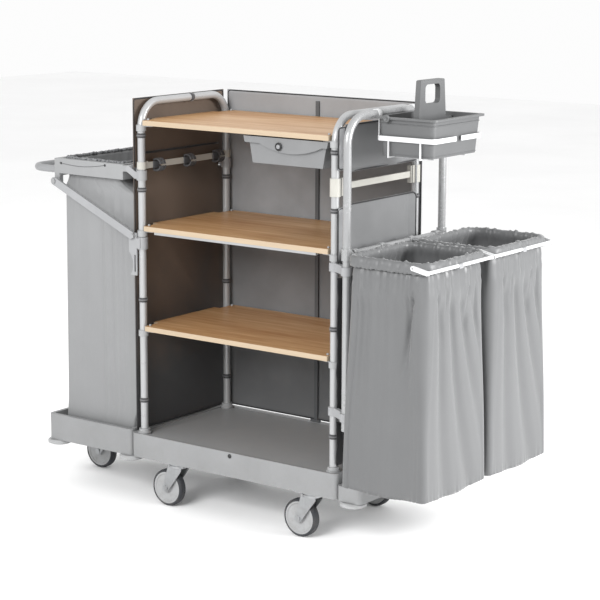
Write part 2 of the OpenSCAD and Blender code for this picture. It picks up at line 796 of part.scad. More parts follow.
// Linen bag: standing in the platform's recess, its neck inside the frame
module linen_bag() {
    z0 = deck_z + platform_lip - recess_d + 0.5;
    z1 = hinge_z - end_down - 2;
    z2 = hinge_z - rim_down + 16;
    x0 = frame_x0 + 4;
    x1 = post_x0 - panel_off - cloth_t - 10;
    floor_x0 = max(x0, platform_x0 + deck_lip_w + 3);
    floor_x1 = min(x1, deck_x0 - module_gap - deck_lip_w - 3);
    half = min(post_y - 8, deck_w / 2 - deck_lip_w - 3);
    neck_x0 = frame_x0 + bar_t + 1;
    neck_x1 = hinge_x - 62;
    neck = side_in - 8;
    rise = deck_z + platform_lip + 3;
    color([0.66, 0.66, 0.66]) difference() {
        union() {
            block(floor_x0, -half, z0, floor_x1, half, z1, 14);
            block(x0, -half, rise, x1, half, z1, 14);
            block(neck_x0, -neck, z1 - eps, neck_x1, neck, z2, 14);
        }
        block(floor_x0 + bag_t, -half + bag_t, z0 + bag_t, floor_x1 - bag_t, half - bag_t, z1 - bag_t, 10);
        block(x0 + bag_t, -half + bag_t, rise + bag_t, x1 - bag_t, half - bag_t, z1 - bag_t, 10);
        block(neck_x0 + bag_t, -neck + bag_t, z1 - bag_t - eps, neck_x1 - bag_t, neck - bag_t, z2 + eps, 10);
    }
}

// ---- waste bags ----

ring_r = 7;
ring_bend = 42;
clamp_r = 5.5;
arm_r = 7;
carrier_z = deck_z + ring_z - 4;
ring_h = deck_z + ring_z;
clamp_drop = 10;

// Cross tube on the outer hoop that the rings hook over
module bag_carrier() {
    color([0.80, 0.81, 0.82]) {
        difference() {
            rod_y(-outer_w / 2 + tube_r + 1, outer_w / 2 - tube_r - 1, outer_x, carrier_z, 10);
            rod_y(-outer_w / 2, outer_w / 2, outer_x, carrier_z, 8.5);
        }
        both() difference() {
            rod_z(carrier_z - 18, carrier_z + 18, outer_x, outer_w / 2, tube_r + 4);
            rod_z(carrier_z - 19, carrier_z + 19, outer_x, outer_w / 2, tube_r + seat_gap);
        }
    }
}

ring_x0 = bag_x0 + ring_r;
ring_x1 = bag_x1 - 2 * clamp_r - ring_r - 2;
ring_y0 = bag_gap / 2 + clamp_r * 2 + ring_r + 2;
ring_y1 = bag_gap / 2 + bag_w - clamp_r * 2 - ring_r - 2;
clamp_x = ring_x1 - 36;
bag_flare = 9;

// Ring for the bag on the +Y side; the front one is its mirror image
module ring() {
    color([0.82, 0.83, 0.84]) {
        flat_loop(ring_x0, ring_y0, ring_x1, ring_y1, ring_h, ring_bend, ring_r);
        for (y = [ring_y0 + 60, ring_y1 - 120]) {
            difference() {
                rod_y(y - 11, y + 11, outer_x, carrier_z, 14);
                rod_y(y - 12, y + 12, outer_x, carrier_z, 10 + seat_gap);
                box([outer_x - 9, y - 12, carrier_z - 20], [outer_x + 9, y + 12, carrier_z - 4]);
            }
            rod_x(outer_x + 11, ring_x0, y, ring_h, 6);
        }
        // pins for the clamp
        for (s = [0, 1]) rod_y(s == 0 ? ring_y0 - ring_r - 11 : ring_y1,
                               s == 0 ? ring_y0 : ring_y1 + ring_r + 11,
                               clamp_x, ring_h, 3);
    }
}
module ring_back() { ring(); }
module ring_front() { mirror([0, 1, 0]) ring(); }

// Clamp bar: swings over the ring's outer end on two arms
module clamp() {
    bar_x = bag_x1 - arm_r;
    y0 = ring_y0 - ring_r - 1 - clamp_r;
    y1 = ring_y1 + ring_r + 1 + clamp_r;
    color([0.94, 0.94, 0.94]) {
        rod_y(y0, y1, bar_x, ring_h - clamp_drop, clamp_r);
        for (y = [y0, y1]) slab_y(y - 4, y + 4) difference() {
            stadium([clamp_x, ring_h], [bar_x, ring_h - clamp_drop], arm_r);
            translate([clamp_x, ring_h]) circle(3 + run_gap);
        }
    }
}
module clamp_back() { clamp(); }
module clamp_front() { mirror([0, 1, 0]) clamp(); }

// Bag below its ring, open at the top
module bag() {
    x0 = ring_x0 - ring_r + 1;
    x1 = ring_x1 + ring_r - 0.5;
    y0 = ring_y0 - ring_r;
    y1 = ring_y1 + ring_r;
    z0 = max(deck_z + bag_low, castor_h + rail_h + 4);
    z1 = ring_h - ring_r - 0.5;
    low = [x0 - bag_flare, y0 - bag_flare, x1 + bag_flare, y1 + bag_flare];
    color([0.62, 0.62, 0.63]) difference() {
        hull() {
            block(x0, y0, z1 - 20, x1, y1, z1, 36);
            block(low[0], low[1], z0, low[2], low[3], z0 + 20, 26);
        }
        hull() {
            block(x0 + bag_t, y0 + bag_t, z1 - 20, x1 - bag_t, y1 - bag_t, z1 + eps, 31);
            block(low[0] + bag_t, low[1] + bag_t, z0 + bag_t, low[2] - bag_t, low[3] - bag_t, z0 + 21, 21);
        }
    }
}
module bag_back() { bag(); }
module bag_front() { mirror([0, 1, 0]) bag(); }

// ---- caddy ----

caddy_x0 = outer_x + tube_r + 4;
caddy_x1 = caddy_x0 + caddy_l;
caddy_y0 = -caddy_w / 2 - 15;
caddy_y1 = caddy_y0 + caddy_w;
caddy_z1 = deck_z + hoop_h + 2;
caddy_z0 = caddy_z1 - caddy_h;
caddy_rim = 12;
caddy_wall = 3;
caddy_draft = 8;
tower_l = 150;
tower_t = 18;
wire = 4;
band_z0 = caddy_z1 - 72;
band_h = 15;

// Rounded tray outline, inset by d from the rim
module caddy_block(d, z0, z1, r) {
    block(caddy_x0 + d, caddy_y0 + d, z0, caddy_x1 - d, caddy_y1 - d, z1, r);
}

module caddy() {
    mid_x = (caddy_x0 + caddy_x1) / 2;
    mid_y = (caddy_y0 + caddy_y1) / 2;
    floor_z = caddy_z0 + caddy_wall;
    color([0.46, 0.47, 0.48]) difference() {
        union() {
            difference() {
                union() {
                    caddy_block(0, caddy_z1 - 6, caddy_z1, 18);
                    hull() {
                        caddy_block(caddy_rim, caddy_z1 - 7, caddy_z1 - 6, 16);
                        caddy_block(caddy_rim + caddy_draft, caddy_z0, caddy_z0 + 1, 16);
                    }
                }
                hull() {
                    caddy_block(caddy_rim + caddy_wall, caddy_z1, caddy_z1 + eps, 13);
                    caddy_block(caddy_rim + caddy_draft + caddy_wall, floor_z, floor_z + 1, 13);
                }
            }
            // carrying tower on a partition
            slab_x(mid_x - tower_t / 2, mid_x + tower_t / 2) intersection() {
                polygon([[mid_y - tower_l / 2, caddy_z0 + 1], [mid_y + tower_l / 2, caddy_z0 + 1],
                         [mid_y + tower_l / 2, caddy_z1], [mid_y + tower_l / 2 - 10, caddy_z1 + tower_h],
                         [mid_y - tower_l / 2 + 10, caddy_z1 + tower_h], [mid_y - tower_l / 2, caddy_z1]]);
                panel2d(mid_y - tower_l / 2, caddy_z0 - 30, mid_y + tower_l / 2, caddy_z1 + tower_h, 20);
            }
            box([mid_x - 2, caddy_y0 + caddy_rim + caddy_draft + 1, caddy_z0 + 1],
                [mid_x + 2, caddy_y1 - caddy_rim - caddy_draft - 1, caddy_z1 - 10]);
        }
        slab_x(mid_x - tower_t, mid_x + tower_t)
            panel2d(mid_y - 41, caddy_z1 + tower_h * 0.33, mid_y + 41, caddy_z1 + tower_h - 14, 14);
    }
}

// Wire cradle with a flat band, hooked over the outer hoop
module caddy_holder() {
    x0 = caddy_x0 + caddy_rim - 3;
    x1 = caddy_x1 - caddy_rim + 3;
    y0 = caddy_y0 + caddy_rim - 3;
    y1 = caddy_y1 - caddy_rim + 3;
    low = caddy_z0 - 0.4;
    color([0.93, 0.93, 0.93]) {
        difference() {
            block(x0 - 2, y0 - 2, band_z0, x1 + 2, y1 + 2, band_z0 + band_h, 20);
            block(x0, y0, band_z0 - eps, x1, y1, band_z0 + band_h + eps, 18);
            box([x1 - 4, (y0 + y1) / 2 - 14, band_z0 - eps],
                [x1 + 4, (y0 + y1) / 2 + 14, band_z0 + band_h + eps]);
        }
        for (x = [x0 + 46, x1 - 46]) {
            box([x - wire / 2, y0 - 4, low - wire], [x + wire / 2, y1 + 4, low]);
            for (y = [y0 - 4, y1])
                box([x - wire / 2, y, low - wire], [x + wire / 2, y + 4, band_z0 + 8]);
        }
        for (y = [y0 + 50, y1 - 50])
            box([x0 + 30, y - wire / 2, low - 2 * wire + 1], [x1 - 30, y + wire / 2, low - wire + 1]);
        for (y = [y0 + 40, y1 - 40]) {
            slab_y(y - 8, y + 8) difference() {
                union() {
                    translate([outer_x, outer_z1]) circle(tube_r + 3);
                    translate([outer_x + tube_r - 1, band_z0]) square([4, outer_z1 - band_z0]);
                }
                translate([outer_x, outer_z1]) circle(tube_r + seat_gap);
                translate([outer_x - 40, band_z0 - 1]) square([39 + tube_r, outer_z1 - band_z0 + 1]);
            }
            box([outer_x + tube_r + 1, y - 6, band_z0 + 1], [x0 - 1, y + 6, band_z0 + band_h - 1]);
        }
    }
}

deck_tray();
linen_platform();
bag_rail();
post_feet();
roller_pins();
roller(0);  // roller_front_left
roller(1);  // roller_front_seam
roller(2);  // roller_front_right
roller(3);  // roller_back_left
roller(4);  // roller_back_seam
roller(5);  // roller_back_right
castor_plates();
fork(0);  // fork_front_left
fork(1);  // fork_front_right
fork(2);  // fork_back_left
fork(3);  // fork_back_right
fork(4);  // fork_end
hub(0);  // hub_front_left
hub(1);  // hub_front_right
hub(2);  // hub_back_left
hub(3);  // hub_back_right
hub(4);  // hub_end
tyre(0);  // tyre_front_left
tyre(1);  // tyre_front_right
tyre(2);  // tyre_back_left
tyre(3);  // tyre_back_right
tyre(4);  // tyre_end
left_hoop();
right_hoop();
outer_hoop();
hoop_links();
right_crossbar();
shelf_low();
shelf_mid();
shelf_top();
shelf_supports();
drawer_runners();
drawer_tub();
drawer_lock();
clip_rail();
tool_clips();
strap_bands();
left_panel();
back_panel();
right_panel();
back_batten();
linen_frame();
push_handle();
linen_struts();
linen_brackets();
linen_bag();
bag_carrier();
ring_front();
ring_back();
clamp_front();
clamp_back();
bag_front();
bag_back();
caddy_holder();
caddy();
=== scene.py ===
# Housekeeping cart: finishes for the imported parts, the soft goods and the small fittings
import json
import math
import bpy
import numpy as np
from mathutils import Matrix, Vector


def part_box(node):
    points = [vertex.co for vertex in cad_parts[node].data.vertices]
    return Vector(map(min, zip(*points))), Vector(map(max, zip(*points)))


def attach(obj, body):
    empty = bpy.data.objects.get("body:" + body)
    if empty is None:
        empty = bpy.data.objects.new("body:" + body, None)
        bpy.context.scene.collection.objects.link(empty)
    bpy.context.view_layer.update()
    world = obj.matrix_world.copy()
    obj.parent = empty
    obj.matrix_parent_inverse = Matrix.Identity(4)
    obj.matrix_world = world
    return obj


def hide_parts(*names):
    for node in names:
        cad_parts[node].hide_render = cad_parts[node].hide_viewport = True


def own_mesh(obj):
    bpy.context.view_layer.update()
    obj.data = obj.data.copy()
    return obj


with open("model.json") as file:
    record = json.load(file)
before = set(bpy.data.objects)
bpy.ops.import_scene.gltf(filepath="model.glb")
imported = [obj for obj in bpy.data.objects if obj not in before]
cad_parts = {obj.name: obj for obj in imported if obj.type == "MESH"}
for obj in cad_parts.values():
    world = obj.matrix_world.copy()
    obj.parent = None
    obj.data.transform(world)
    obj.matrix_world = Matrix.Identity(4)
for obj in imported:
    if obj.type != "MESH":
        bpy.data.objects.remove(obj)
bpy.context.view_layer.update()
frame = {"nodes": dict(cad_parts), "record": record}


def srgb(red, green, blue):
    def linear(value):
        share = value / 255
        return share / 12.92 if share < 0.04045 else ((share + 0.055) / 1.055) ** 2.4
    return (linear(red), linear(green), linear(blue), 1.0)


# Shared shader groups: each puts out masks, tones and heights

def startGroup(name, inputs, outputs):
    group = bpy.data.node_groups.new(name, "ShaderNodeTree")
    for label, value in inputs:
        kind = "NodeSocketColor" if isinstance(value, tuple) else "NodeSocketFloat"
        group.interface.new_socket(name=label, in_out="INPUT", socket_type=kind).default_value = value
    for label, kind in outputs:
        group.interface.new_socket(name=label, in_out="OUTPUT", socket_type="NodeSocket" + kind)
    return group, group.nodes.new("NodeGroupInput"), group.nodes.new("NodeGroupOutput")


def addNode(tree, kind, values=None, **settings):
    node = tree.nodes.new("ShaderNode" + kind)
    for key, value in settings.items():
        setattr(node, key, value)
    for key, value in (values or {}).items():
        node.inputs[key].default_value = value
    return node


def addMath(tree, operation, first, second):
    node = addNode(tree, "Math", operation=operation)
    for index, source in enumerate((first, second)):
        if isinstance(source, bpy.types.NodeSocket):
            tree.links.new(source, node.inputs[index])
        elif source is not None:
            node.inputs[index].default_value = source
    return node.outputs[0]


def addMix(tree, factor, first, second):
    node = addNode(tree, "Mix", data_type="RGBA")
    for index, source in ((0, factor), (6, first), (7, second)):
        if isinstance(source, bpy.types.NodeSocket):
            tree.links.new(source, node.inputs[index])
        else:
            node.inputs[index].default_value = source
    return node.outputs[2]


def addNoise(tree, where, scale, detail=3.0, roughness=0.5):
    node = addNode(tree, "TexNoise", {"Detail": detail, "Roughness": roughness})
    tree.links.new(where, node.inputs["Vector"])
    if isinstance(scale, bpy.types.NodeSocket):
        tree.links.new(scale, node.inputs["Scale"])
    else:
        node.inputs["Scale"].default_value = scale
    return node.outputs["Fac"]


def stretched(tree, scale):
    place = addNode(tree, "TexCoord").outputs["Object"]
    node = addNode(tree, "Mapping", {"Scale": scale})
    tree.links.new(place, node.inputs["Vector"])
    return node.outputs["Vector"]


def mouldGrainGroup():
    tree, given, out = startGroup(
        "mouldGrain", [("Grain size", 700.0), ("Patch size", 7.0)],
        [("Height", "Float"), ("Tone", "Float"), ("Rough", "Float")])
    place = addNode(tree, "TexCoord").outputs["Object"]
    fine = addNoise(tree, place, given.outputs["Grain size"], 2.0, 0.6)
    patch = addNoise(tree, place, given.outputs["Patch size"], 4.0, 0.6)
    tree.links.new(fine, out.inputs["Height"])
    tree.links.new(patch, out.inputs["Tone"])
    tree.links.new(addMath(tree, "ADD", addMath(tree, "MULTIPLY", fine, 0.4),
                           addMath(tree, "MULTIPLY", patch, 0.6)), out.inputs["Rough"])
    return tree


def brushedGroup():
    tree, given, out = startGroup("brushed", [("Stroke", 60.0)], [("Height", "Float"), ("Tone", "Float")])
    along = stretched(tree, (9.0, 9.0, 1.0))
    stroke = addNoise(tree, along, given.outputs["Stroke"], 3.0, 0.55)
    cloud = addNoise(tree, addNode(tree, "TexCoord").outputs["Object"], 9.0, 4.0, 0.6)
    tree.links.new(stroke, out.inputs["Height"])
    tree.links.new(addMath(tree, "ADD", addMath(tree, "MULTIPLY", stroke, 0.35),
                           addMath(tree, "MULTIPLY", cloud, 0.65)), out.inputs["Tone"])
    return tree


def weaveGroup():
    tree, given, out = startGroup(
        "weave", [("Threads", 620.0), ("Fold size", 5.0)],
        [("Height", "Float"), ("Tone", "Float"), ("Cloud", "Float")])
    place = addNode(tree, "TexCoord").outputs["Object"]
    cell = addNode(tree, "TexVoronoi", {"Randomness": 0.18}, distance="CHEBYCHEV")
    tree.links.new(place, cell.inputs["Vector"])
    tree.links.new(given.outputs["Threads"], cell.inputs["Scale"])
    slub = addNoise(tree, stretched(tree, (1.0, 1.0, 0.3)), 420.0, 3.0, 0.6)
    cloud = addNoise(tree, place, given.outputs["Fold size"], 4.0, 0.55)
    tree.links.new(addMath(tree, "ADD", addMath(tree, "MULTIPLY", cell.outputs["Distance"], 0.7),
                           addMath(tree, "MULTIPLY", slub, 0.25)), out.inputs["Height"])
    tree.links.new(slub, out.inputs["Tone"])
    tree.links.new(cloud, out.inputs["Cloud"])
    return tree


def beechGroup():
    tree, given, out = startGroup(
        "beechGrain", [("Pale", srgb(192, 156, 114)), ("Dark", srgb(158, 116, 76))],
        [("Colour", "Color"), ("Height", "Float")])
    streak = addNoise(tree, stretched(tree, (1.1, 13.0, 13.0)), 3.6, 5.0, 0.62)
    fleck = addNoise(tree, stretched(tree, (26.0, 190.0, 190.0)), 3.0, 2.0, 0.7)
    band = addNoise(tree, stretched(tree, (0.35, 3.4, 3.4)), 2.6, 2.0, 0.5)
    both = addMath(tree, "ADD", addMath(tree, "MULTIPLY", streak, 0.65),
                   addMath(tree, "MULTIPLY", band, 0.35))
    ramp = addNode(tree, "MapRange", {"From Min": 0.34, "From Max": 0.64})
    tree.links.new(both, ramp.inputs["Value"])
    wood = addMix(tree, ramp.outputs[0], given.outputs["Pale"], given.outputs["Dark"])
    flecks = addNode(tree, "MapRange", {"From Min": 0.60, "From Max": 0.74, "To Max": 0.35})
    tree.links.new(fleck, flecks.inputs["Value"])
    tree.links.new(addMix(tree, flecks.outputs[0], wood, srgb(126, 87, 55)), out.inputs["Colour"])
    tree.links.new(both, out.inputs["Height"])
    return tree


def floorDustGroup():
    tree, given, out = startGroup("floorDust", [("Reach", 0.30)], [("Mask", "Float")])
    place = addNode(tree, "TexCoord").outputs["Object"]
    apart = addNode(tree, "SeparateXYZ")
    tree.links.new(place, apart.inputs[0])
    fall = addNode(tree, "MapRange", {"From Min": 0.0, "To Min": 1.0, "To Max": 0.0})
    tree.links.new(apart.outputs["Z"], fall.inputs["Value"])
    tree.links.new(given.outputs["Reach"], fall.inputs["From Max"])
    speck = addNode(tree, "MapRange", {"From Min": 0.46, "From Max": 0.70})
    tree.links.new(addNoise(tree, place, 42.0, 6.0, 0.7), speck.inputs["Value"])
    tree.links.new(addMath(tree, "MULTIPLY", fall.outputs[0], speck.outputs[0]), out.inputs["Mask"])
    return tree


groups = {
    "mouldGrain": mouldGrainGroup(), "brushed": brushedGroup(), "weave": weaveGroup(),
    "beechGrain": beechGroup(), "floorDust": floorDustGroup()
}
print("shader groups ready")


def placeGroup(tree, name, values=None):
    node = tree.nodes.new("ShaderNodeGroup")
    node.node_tree = groups[name]
    for key, value in (values or {}).items():
        node.inputs[key].default_value = value
    return node


def startMaterial(name):
    material = bpy.data.materials.new(name)
    material.use_nodes = True
    tree = material.node_tree
    return material, tree, tree.nodes["Principled BSDF"]


def between(tree, source, low, high, fromLow=0.3, fromHigh=0.7):
    node = addNode(tree, "MapRange", {"From Min": fromLow, "From Max": fromHigh, "To Min": low,
                                      "To Max": high})
    tree.links.new(source, node.inputs["Value"])
    return node.outputs[0]


def addBump(tree, shader, height, strength, distance):
    node = addNode(tree, "Bump", {"Strength": strength, "Distance": distance})
    tree.links.new(height, node.inputs["Height"])
    tree.links.new(node.outputs["Normal"], shader.inputs["Normal"])
    return node


# Colours are set for daylight; the studio's lamps are stronger, so every tone is taken down
toneScale = 0.62


def shaded(colour, share):
    return tuple(min(1.0, part * share * toneScale) for part in colour[:3]) + (1.0,)


# Moulded plastic and powder coat: fine grain, faint tone patches, dust near the floor
def mouldedPlastic(name, colour, rough, spread=0.06, dust=0.25, grain=700.0, bump=0.12, spec=0.45):
    material, tree, shader = startMaterial(name)
    grainNode = placeGroup(tree, "mouldGrain", {"Grain size": grain})
    tone = addMix(tree, between(tree, grainNode.outputs["Tone"], 0.0, 1.0),
                  shaded(colour, 1 - spread), shaded(colour, 1 + spread))
    mask = placeGroup(tree, "floorDust").outputs["Mask"]
    tree.links.new(addMix(tree, addMath(tree, "MULTIPLY", mask, dust), tone, srgb(96, 92, 86)),
                   shader.inputs["Base Color"])
    tree.links.new(between(tree, grainNode.outputs["Rough"], rough - 0.07, rough + 0.08),
                   shader.inputs["Roughness"])
    shader.inputs["Specular IOR Level"].default_value = spec
    addBump(tree, shader, grainNode.outputs["Height"], bump, 0.0004)
    return material


# Bare or plated metal with short strokes
def strokedMetal(name, colour, rough, metal=1.0, stroke=60.0, spread=0.10, bump=0.10):
    material, tree, shader = startMaterial(name)
    node = placeGroup(tree, "brushed", {"Stroke": stroke})
    tone = between(tree, node.outputs["Tone"], 0.0, 1.0)
    base = addMix(tree, tone, shaded(colour, 1 - spread), shaded(colour, 1 + spread))
    mask = placeGroup(tree, "floorDust").outputs["Mask"]
    tree.links.new(addMix(tree, addMath(tree, "MULTIPLY", mask, 0.3), base, srgb(112, 108, 102)),
                   shader.inputs["Base Color"])
    tree.links.new(between(tree, node.outputs["Tone"], rough - 0.08, rough + 0.08),
                   shader.inputs["Roughness"])
    shader.inputs["Metallic"].default_value = metal
    addBump(tree, shader, node.outputs["Height"], bump, 0.0002)
    return material


# Coated polyester: tight weave under a soft sheen; given deep, the cloth darkens towards the bottom as
# painted shade
def coatedCloth(name, colour, rough=0.55, spread=0.07, sheen=0.25, bump=0.18, deep=None, threads=620.0):
    material, tree, shader = startMaterial(name)
    node = placeGroup(tree, "weave", {"Threads": threads})
    base = addMix(tree, between(tree, node.outputs["Cloud"], 0.0, 1.0),
                  shaded(colour, 1 - spread), shaded(colour, 1 + spread))
    # painted shade: the colour darkens to deep's grey from its high mark down to its low mark
    if deep:
        place = addNode(tree, "SeparateXYZ")
        tree.links.new(addNode(tree, "TexCoord").outputs["Object"], place.inputs[0])
        height = addMath(tree, "ADD", place.outputs["Z"], between(tree, node.outputs["Cloud"], -0.12, 0.12))
        base = addMix(tree, between(tree, height, 1.0, 0.0, deep["low"], deep["high"]), base,
                      deep["colour"])
    thread = addMix(tree, between(tree, node.outputs["Tone"], 0.0, 0.035), base, srgb(60, 60, 62))
    tree.links.new(thread, shader.inputs["Base Color"])
    tree.links.new(between(tree, node.outputs["Cloud"], rough - 0.06, rough + 0.08),
                   shader.inputs["Roughness"])
    shader.inputs["Sheen Weight"].default_value = sheen
    shader.inputs["Sheen Roughness"].default_value = 0.4
    shader.inputs["Specular IOR Level"].default_value = 0.35
    addBump(tree, shader, node.outputs["Height"], bump, 0.0006)
    return material


# Boards: grain on the faces, a pale band along the edges
def beechBoard():
    material, tree, shader = startMaterial("beechBoard")
    grainNode = placeGroup(tree, "beechGrain")
    apart = addNode(tree, "SeparateXYZ")
    tree.links.new(addNode(tree, "NewGeometry").outputs["Normal"], apart.inputs[0])
    side = addMath(tree, "LESS_THAN", addMath(tree, "ABSOLUTE", apart.outputs["Z"], None), 0.5)
    edge = addMix(tree, 0.25, srgb(162, 152, 134), grainNode.outputs["Colour"])
    tree.links.new(addMix(tree, side, grainNode.outputs["Colour"], edge), shader.inputs["Base Color"])
    tree.links.new(between(tree, grainNode.outputs["Height"], 0.34, 0.50), shader.inputs["Roughness"])
    shader.inputs["Specular IOR Level"].default_value = 0.4
    addBump(tree, shader, grainNode.outputs["Height"], 0.15, 0.0006)
    return material


# The deck's shell: pale skirt, and the standing surface in the tray painted darker as shade
def deckPlastic():
    material = mouldedPlastic("deckPlastic", srgb(158, 159, 160), 0.46, dust=0.22, bump=0.15)
    tree = material.node_tree
    shader = tree.nodes["Principled BSDF"]
    link = shader.inputs["Base Color"].links[0]
    geometry = addNode(tree, "SeparateXYZ")
    tree.links.new(addNode(tree, "NewGeometry").outputs["Normal"], geometry.inputs[0])
    place = addNode(tree, "SeparateXYZ")
    tree.links.new(addNode(tree, "TexCoord").outputs["Object"], place.inputs[0])
    # painted shade: upward faces below the tray's rim are mixed towards a darker grey
    upward = addMath(tree, "GREATER_THAN", geometry.outputs["Z"], 0.5)
    inside = addMath(tree, "LESS_THAN", place.outputs["Z"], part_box("deck_tray")[1].z - 0.002)
    mask = addMath(tree, "MULTIPLY", addMath(tree, "MULTIPLY", upward, inside), 0.85)
    tree.links.new(addMix(tree, mask, link.from_socket, srgb(136, 137, 138)), shader.inputs["Base Color"])
    return material


finish = {
    "base_plastic": deckPlastic(),
    "foot_plastic": mouldedPlastic("footPlastic", srgb(178, 179, 180), 0.45),
    "zinc": strokedMetal("zincPlate", srgb(196, 198, 200), 0.38, 0.85, 30.0, 0.14),
    "roller_plastic": mouldedPlastic("rollerPlastic", srgb(186, 187, 188), 0.45, dust=0.4),
    "wheel_plastic": mouldedPlastic("wheelPlastic", srgb(184, 185, 186), 0.42, dust=0.35),
    "tyre_rubber": mouldedPlastic("tyreRubber", srgb(66, 68, 72), 0.62, 0.14, 0.45, 420.0, 0.3, 0.3),
    "frame_tube": strokedMetal("coatedTube", srgb(196, 197, 198), 0.32, 0.25, 80.0, 0.03, 0.03),
    "bright_tube": strokedMetal("brightTube", srgb(184, 185, 186), 0.26, 0.35, 80.0, 0.03, 0.02),
    "bracket_grey": mouldedPlastic("bracketGrey", srgb(172, 173, 175), 0.42, 0.07),
    "cream_bar": mouldedPlastic("creamBar", srgb(204, 202, 194), 0.40, 0.05),
    "beech": beechBoard(),
    "runner_grey": mouldedPlastic("runnerGrey", srgb(205, 206, 207), 0.40),
    "drawer_plastic": mouldedPlastic("drawerPlastic", srgb(138, 139, 140), 0.40, 0.06, 0.0, 600.0, 0.15),
    "clip_rubber": mouldedPlastic("clipRubber", srgb(84, 84, 86), 0.60, 0.15, 0.0, 500.0, 0.3, 0.3),
    "strap_textile": coatedCloth("strapTextile", srgb(74, 74, 76), 0.75, 0.12, 0.3, 0.5),
    # the lining and the back panel darken towards the bottom: painted shade inside the cart
    "dark_fabric": coatedCloth("panelLining", srgb(108, 93, 81), 0.62, 0.14, 0.10, 0.25,
                               {"low": 0.45, "high": 0.85, "colour": srgb(62, 62, 63)}),
    "panel_fabric": coatedCloth("panelCloth", srgb(166, 167, 169), 0.52, 0.08, 0.15, 0.2,
                                {"low": 0.30, "high": 1.30, "colour": srgb(88, 89, 90)}),
    "batten_dark": mouldedPlastic("battenDark", srgb(92, 94, 96), 0.50),
    "frame_plastic": mouldedPlastic("framePlastic", srgb(164, 165, 166), 0.40, 0.05, 0.0),
    "handle_paint": mouldedPlastic("handlePaint", srgb(160, 161, 163), 0.34, 0.05, 0.0, 900.0, 0.05),
    "bag_fabric": coatedCloth("bagCloth", srgb(116, 117, 118), 0.42, 0.04, 0.25, 0.10),
    "white_gloss": mouldedPlastic("whiteGloss", srgb(242, 243, 244), 0.24, 0.02, 0.0, 900.0, 0.04, 0.5),
    "caddy_plastic": mouldedPlastic("caddyPlastic", srgb(108, 109, 110), 0.44, 0.05, 0.0, 650.0, 0.15)
}
# the right panel darkens towards the bottom: painted shade inside the cart
sidePanelCloth = coatedCloth("sidePanelCloth", srgb(138, 139, 140), 0.54, 0.08, 0.15, 0.2,
                             {"low": 0.30, "high": 1.30, "colour": srgb(80, 81, 82)})
pipingBlack = coatedCloth("pipingBlack", srgb(44, 44, 46), 0.70, 0.15, 0.2, 0.4)
linenCloth = coatedCloth("linenCloth", srgb(156, 157, 158), 0.52, 0.04, 0.2, 0.12)
blackPlastic = mouldedPlastic("blackPlastic", srgb(34, 34, 36), 0.40, 0.12, 0.0)
strapGrey = coatedCloth("strapGrey", srgb(128, 128, 130), 0.70, 0.08, 0.2, 0.4)
beadGrey = mouldedPlastic("beadGrey", srgb(104, 105, 107), 0.45, 0.08, 0.0)

for part in frame["record"]["subparts"]:
    solid = frame["nodes"][part["node"]]
    if solid.material_slots:
        solid.material_slots[0].material = finish[part["material_slot"]]
    else:
        solid.data.materials.append(finish[part["material_slot"]])
print("finishes on", len(frame["nodes"]), "packed parts")


# Mesh helpers

def addPiece(name, points, faces, material, body, slot, smooth=True):
    mesh = bpy.data.meshes.new(name)
    mesh.from_pydata([tuple(float(c) for c in p) for p in points], [], faces)
    mesh.materials.append(material)
    if smooth:
        mesh.polygons.foreach_set("use_smooth", [True] * len(mesh.polygons))
    mesh.update()
    piece = bpy.data.objects.new(name, mesh)
    bpy.context.scene.collection.objects.link(piece)
    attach(piece, body)
    return piece


def thicken(piece, depth, offset=0.0):
    solidify = piece.modifiers.new("clothDepth", "SOLIDIFY")
    solidify.thickness = depth
    solidify.offset = offset
    return piece


# A closed round tube along a line of points
def tubeMesh(line, radius, sides=10, closed=False):
    line = np.array(line, float)
    count = len(line)
    points, faces = [], []
    previous = None
    for index in range(count):
        if closed:
            heading = line[(index + 1) % count] - line[index - 1]
        else:
            heading = line[min(index + 1, count - 1)] - line[max(index - 1, 0)]
        heading /= max(np.linalg.norm(heading), 1e-9)
        if previous is None:
            previous = np.array([0, 0, 1.0]) if abs(heading[2]) < 0.9 else np.array([0, 1.0, 0])
        side = previous - heading * previous.dot(heading)
        side /= np.linalg.norm(side)
        previous = side
        other = np.cross(heading, side)
        width = radius[index] if hasattr(radius, "__len__") else radius
        for step in range(sides):
            angle = 2 * math.pi * step / sides
            points.append(line[index] + width * (math.cos(angle) * side + math.sin(angle) * other))
    spans = count if closed else count - 1
    for index in range(spans):
        for step in range(sides):
            a = index * sides + step
            b = index * sides + (step + 1) % sides
            c = ((index + 1) % count) * sides + (step + 1) % sides
            d = ((index + 1) % count) * sides + step
            faces.append((a, b, c, d))
    if not closed:
        faces.append(tuple(reversed(range(sides))))
        faces.append(tuple(range((count - 1) * sides, count * sides)))
    return points, faces


# A turned shape: profile of (distance out, height along the axis)
def turnedMesh(profile, centre, axis, sides=28):
    turn = Vector((0, 0, 1)).rotation_difference(Vector(axis)).to_matrix()
    points, faces = [], []
    for radius, height in profile:
        for step in range(sides):
            angle = 2 * math.pi * step / sides
            spot = turn @ Vector((radius * math.cos(angle), radius * math.sin(angle), height))
            points.append(spot + Vector(centre))
    for row in range(len(profile) - 1):
        for step in range(sides):
            a = row * sides + step
            b = row * sides + (step + 1) % sides
            faces.append((a, b, b + sides, a + sides))
    faces.append(tuple(reversed(range(sides))))
    faces.append(tuple(range((len(profile) - 1) * sides, len(profile) * sides)))
    return points, faces


def joinMeshes(parts):
    points, faces = [], []
    for morePoints, moreFaces in parts:
        start = len(points)
        points.extend(morePoints)
        faces.extend(tuple(i + start for i in face) for face in moreFaces)
    return points, faces


